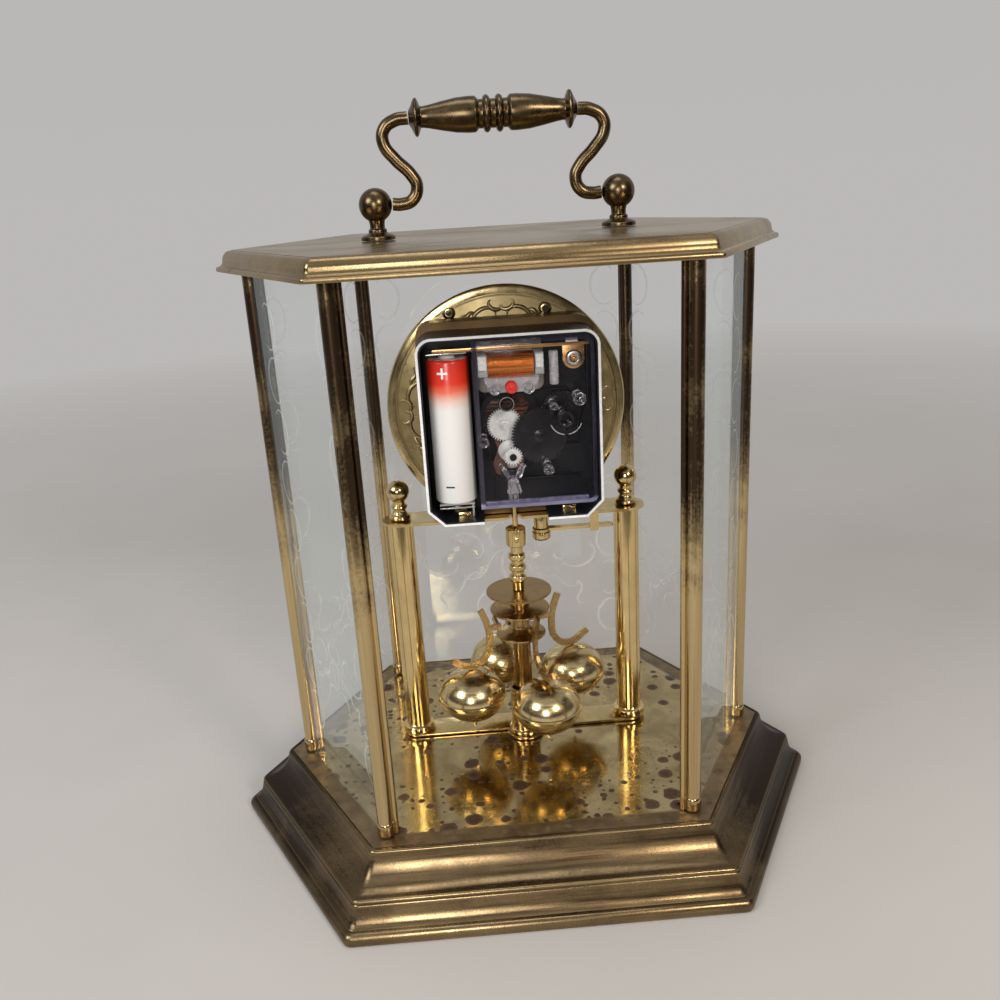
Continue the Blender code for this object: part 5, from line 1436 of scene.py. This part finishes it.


# setting knob: hollow head, six-sided key and its wheel, with a raised arc round it on the cover, made milky
# pale as a painted highlight
def makeKnob(x, z):
    head = sized([(1.5, 1.2), (1.5, 2.6), (2.1, 2.95), (2.7, 2.9), (2.95, 2.5), (2.95, 0.0), (1.5, 0.0)])
    turned("knobHead", head, wheelBlack, "knob", (x, wheels["knobHeadPlace"], z), faceRear, 48, 0.08 * mm,
           True, ["setting_knob"])
    wheelPiece("knobWheel", wheelBlack, "knob", x=x, z=z, **wheels["knob"])
    corners = [(1.5 * mm * cos(radians(60 * i)), 1.5 * mm * sin(radians(60 * i))) for i in range(6)]
    plate("knobKey", easeCorners(corners, 0.2 * mm, True), wheels["knobKey"], wheelBlack, "knob",
          (x, wheels["knobKeyPlace"], z), faceFront)
    y = high("movement_cover", 1) - 0.02 * mm
    # the raised arcs on the clear cover are coloured milky pale: painted highlight
    for number, (start, end) in enumerate(((200, 262), (278, 340))):
        line = [(px, y, pz) for px, pz in arc(x, z, wheels["knobHighlightArc"], radians(start), radians(end), 18)]
        tube("knobArc_%d" % number, line, 0.16 * mm, milkPlastic, "clock", sides=2, smooth=False)


# posts moulded with the cover, welded over at their ends
studs = {
    "front": 4.0 * mm, "red": (-0.7, 159.7, 2.0), "ring": (1.1, 153.9, 2.7),
    "clear": [(4.8, 159.6, 1.9), (-6.4, 159.6, 2.1), (9.6, 141.8, 1.9), (-11.9, 131.0, 1.9),
              (-23.1, 154.7, 2.2), (-14.3, 152.8, 1.5)],
}
# brown board behind the wheels
board = [(8.0, 151.5), (5.4, 154.6), (-4.6, 155.4), (-7.4, 151.8), (-5.0, 148.2), (-3.6, 141.4),
         (-4.4, 132.0), (-3.0, 127.6), (5.4, 127.4), (6.6, 131.6), (4.6, 136.6), (6.0, 141.6), (8.2, 146.4)]
# clear fork and facets round the suspension: place, width, height, lean
fork = [(2.6, 7.6, 129.8, 1.6, 3.4, 0.5), (-2.2, 7.4, 129.4, 1.6, 3.2, -0.45),
        (0.2, 8.4, 126.8, 3.6, 1.3, 0.1), (1.5, 8.6, 124.2, 1.2, 3.8, -0.2),
        (-1.5, 8.4, 124.4, 1.2, 3.6, 0.25), (3.9, 6.6, 131.9, 1.4, 1.6, 0.8),
        (-3.4, 6.8, 131.6, 1.4, 1.8, -0.7), (0.0, 8.8, 121.2, 1.6, 2.6, 0.0)]


# clear studs, a red one and the ring round a bearing, with a grey edge ring that paints the ring's highlight
def makeStuds():
    front = studs["front"]
    for number, (x, z, r) in enumerate(studs["clear"]):
        r *= mm
        profile = [(0.55 * r, 6.6 * mm), (0.6 * r, 7.5 * mm), (0.85 * r, 7.6 * mm), (r, 7.3 * mm),
                   (r, 6.6 * mm), (0.78 * r, 6.0 * mm), (0.78 * r, 0), (0, 0), (0, 6.3 * mm)]
        turned("stud_%d" % number, profile, studClear, "clock", (x * mm, front, z * mm), faceRear, 40)
    x, z, r = (v * mm for v in studs["red"])
    profile = [(0, 5.2 * mm), (0.5 * r, 5.1 * mm), (0.55 * r, 5.6 * mm), (0.85 * r, 5.6 * mm), (r, 5.2 * mm),
               (r, 0), (0, 0)]
    turned("redStud", profile, redPlastic, "clock", (x, front + 1.0 * mm, z), faceRear, 40)
    x, z, r = (v * mm for v in studs["ring"])
    profile = [(r * 0.62, 0), (r * 0.62, 4.2 * mm), (r * 0.75, 4.6 * mm), (r * 0.92, 4.5 * mm),
               (r, 4.0 * mm), (r, 0)]
    turned("bearingRing", profile, wheelBlack, "clock", (x, front, z), faceRear, 48, 0.1 * mm, True)
    # grey ring on the black ring's top edge: painted highlight
    profile = [(r * 0.80, 4.45 * mm), (r * 0.86, 4.68 * mm), (r * 0.93, 4.5 * mm), (r * 0.86, 4.3 * mm)]
    turned("bearingEdgeHighlight", profile, carrierGrey, "clock", (x, front, z), faceRear, 48, 0.0, True)
    palePost = sized([(0, 5.6), (1.3, 5.6), (1.55, 5.3), (1.55, -5.3), (1.3, -5.6), (0, -5.6)])
    turned("palePost", palePost, milkPlastic, "clock", (-15.2 * mm, 7.6 * mm, 165.2 * mm), steps=36)
    makeFork()


def makeFork():
    plate("brownBoard", easeCorners(sized(board), 1.0 * mm, True), 0.8 * mm, boardBrown, "clock",
          (0, 0.9 * mm, 0), faceFront, edge=0.12 * mm)
    for number, (x, y, z, wide, tall, lean) in enumerate(fork):
        block("clearFork_%d" % number, (wide * mm, 2.2 * mm, tall * mm), (x * mm, y * mm, z * mm), studClear,
              "clock", 0.3 * mm, (0, lean, 0.2))
    # clear sleeve that carries the suspension rod
    sleeve = sized([(1.0, 0), (1.35, 0.3), (1.35, 5.5), (1.8, 6.2), (1.8, 9.6), (1.0, 9.6)])
    turned("yokeSleeve", sleeve, studClear, "pendulum", (0, 0, low("suspension_yoke", 2)), steps=36,
           ring=True, ease=0.1 * mm)
    dressNode("suspension_yoke", milkPlastic)


makeMovementCase()
makeCover()
makeCell()
makeContacts()
makeTabs()
makeCoil()
makeWheels()
makeStuds()
print("movement made")


# camera, floor, background and light
view = {"place": (17.7 * mm, 322.2 * mm, 225.1 * mm), "aim": (4.9 * mm, 0.0, 117.7 * mm),
        "roll": radians(-3.395), "lens": 34.6}


# the camera stands where the photograph was taken, a little rolled
def makeCamera():
    data = bpy.data.cameras.new("photoView")
    data.lens = view["lens"]
    data.sensor_width = 36
    data.clip_start = 0.01
    camera = putObject("photoView", data)
    ahead = (Vector(view["aim"]) - Vector(view["place"])).normalized()
    right = ahead.cross(Vector((0, 0, 1))).normalized()
    up = right.cross(ahead)
    turnedRight = right * cos(view["roll"]) + up * sin(view["roll"])
    turnedUp = up * cos(view["roll"]) - right * sin(view["roll"])
    basis = Matrix((turnedRight, turnedUp, -ahead)).transposed()
    camera.matrix_world = Matrix.Translation(view["place"]) @ basis.to_4x4()
    bpy.context.scene.camera = camera


# a pale floor round the clock that melts into the pale room, and a dark cloth
stage = {"radius": 1.3, "drop": 0.2 * mm, "clear": 0.34, "gone": 1.2, "flagFrom": 0.36, "flagTo": 1.05,
         "flagTall": 1.0, "flagHalf": 1.0, "flagCut": 0.35, "flagBack": -0.10, "flagFoot": 0.001,
         "flagLean": 0.94}


def makeStage():
    bm = bmesh.new()
    bmesh.ops.create_circle(bm, cap_ends=True, segments=96, radius=stage["radius"])
    floor = putObject("paleFloor", meshFrom("paleFloor", bm))
    floor.location.z = -stage["drop"]
    sh = Shader("paleFloor")
    where = sh.coords()
    sh.colour(sh.ramp(sh.noise(where, 5, 4), [(0.3, (0.47, 0.445, 0.42)), (0.7, (0.51, 0.485, 0.46))]))
    sh.set(Roughness=0.85)
    reach = sh.add("ShaderNodeVectorMath", operation="LENGTH")
    sh.link(where, reach.inputs[0])
    fade = sh.spread(reach.outputs["Value"], stage["clear"], stage["gone"], 1.0, 0.0)
    sh.feed(sh.bsdf.inputs["Alpha"], fade)
    floor.data.materials.append(sh.mat)


# dark cloth round the camera's side of the room, seen only by polished metal, as in a studio
def makeFlag():
    bm = bmesh.new()
    half, near, far, cut = stage["flagHalf"], stage["flagFrom"], stage["flagTo"], stage["flagCut"]
    back, ground, lean = stage["flagBack"], stage["flagFoot"], stage["flagLean"]
    line = [(-half, back), (-half, far - cut), (-half + cut, far), (half - cut, far), (half, far - cut),
            (half, back)]
    foot = [bm.verts.new((x, y, ground)) for x, y in line]
    head = [bm.verts.new((x * lean, y * lean, stage["flagTall"])) for x, y in line]
    for i in range(len(line) - 1):
        bm.faces.new((foot[i], foot[i + 1], head[i + 1], head[i]))
    corners = [bm.verts.new((x, near, ground)) for x in (half, -half)]
    bm.faces.new((*foot[1:5], *corners))
    flag = putObject("darkCloth", meshFrom("darkCloth", bm))
    sh = Shader("darkCloth")
    sh.colour(sh.ramp(sh.noise(sh.coords(), 900, 4), [(0.3, (0.03, 0.027, 0.025)),
                                                      (0.7, (0.06, 0.054, 0.05))]))
    sh.set(Roughness=0.9)
    flag.data.materials.append(sh.mat)
    flag.visible_camera = False
    flag.visible_diffuse = False
    flag.visible_transmission = False
    flag.visible_shadow = False


# pale room light, a little darker overhead
def makeWorld():
    world = bpy.data.worlds.new("studioRoom")
    world.use_nodes = True
    bpy.context.scene.world = world
    tree = world.node_tree
    back = tree.nodes["Background"]
    spot = tree.nodes.new("ShaderNodeTexCoord")
    split = tree.nodes.new("ShaderNodeSeparateXYZ")
    tree.links.new(spot.outputs["Generated"], split.inputs["Vector"])
    bar = tree.nodes.new("ShaderNodeValToRGB")
    bar.color_ramp.elements[0].color = (0.50, 0.485, 0.475, 1)
    bar.color_ramp.elements[1].color = (0.42, 0.42, 0.425, 1)
    tree.links.new(split.outputs["Z"], bar.inputs["Fac"])
    tree.links.new(bar.outputs["Color"], back.inputs["Color"])
    back.inputs["Strength"].default_value = 1.0


# lamps: place, aim, width and height, power, tint
lamps = {
    "coolWindow": ((0.70, 0.55, 0.70), (0, 0, 0.12), 0.40, 0.40, 5.0, (0.93, 0.97, 1.0)),
    "warmLamp": ((-0.45, 0.80, 0.62), (0, 0, 0.12), 0.18, 0.18, 4.0, (1.0, 0.90, 0.78)),
    "lowWindow": ((0.16, 0.92, 0.34), (0, 0, 0.14), 0.22, 0.30, 2.6, (1.0, 0.97, 0.93)),
    "softTop": ((0.05, 0.05, 1.3), (0, -0.05, 0.1), 0.6, 0.4, 2.5, (1, 1, 1)),
}


def areaLight(name, place, aim, width, tall, power, tint):
    data = bpy.data.lights.new(name, "AREA")
    data.shape = "RECTANGLE"
    data.size = width
    data.size_y = tall
    data.energy = power
    data.color = tint
    lamp = putObject(name, data, place)
    lamp.rotation_euler = (Vector(aim) - Vector(place)).to_track_quat("-Z", "Y").to_euler()


makeCamera()
makeStage()
makeFlag()
makeWorld()
for name, lamp in lamps.items():
    areaLight(name, *lamp)
bpy.context.scene.view_settings.view_transform = "Standard"
print("camera, floor and light made")
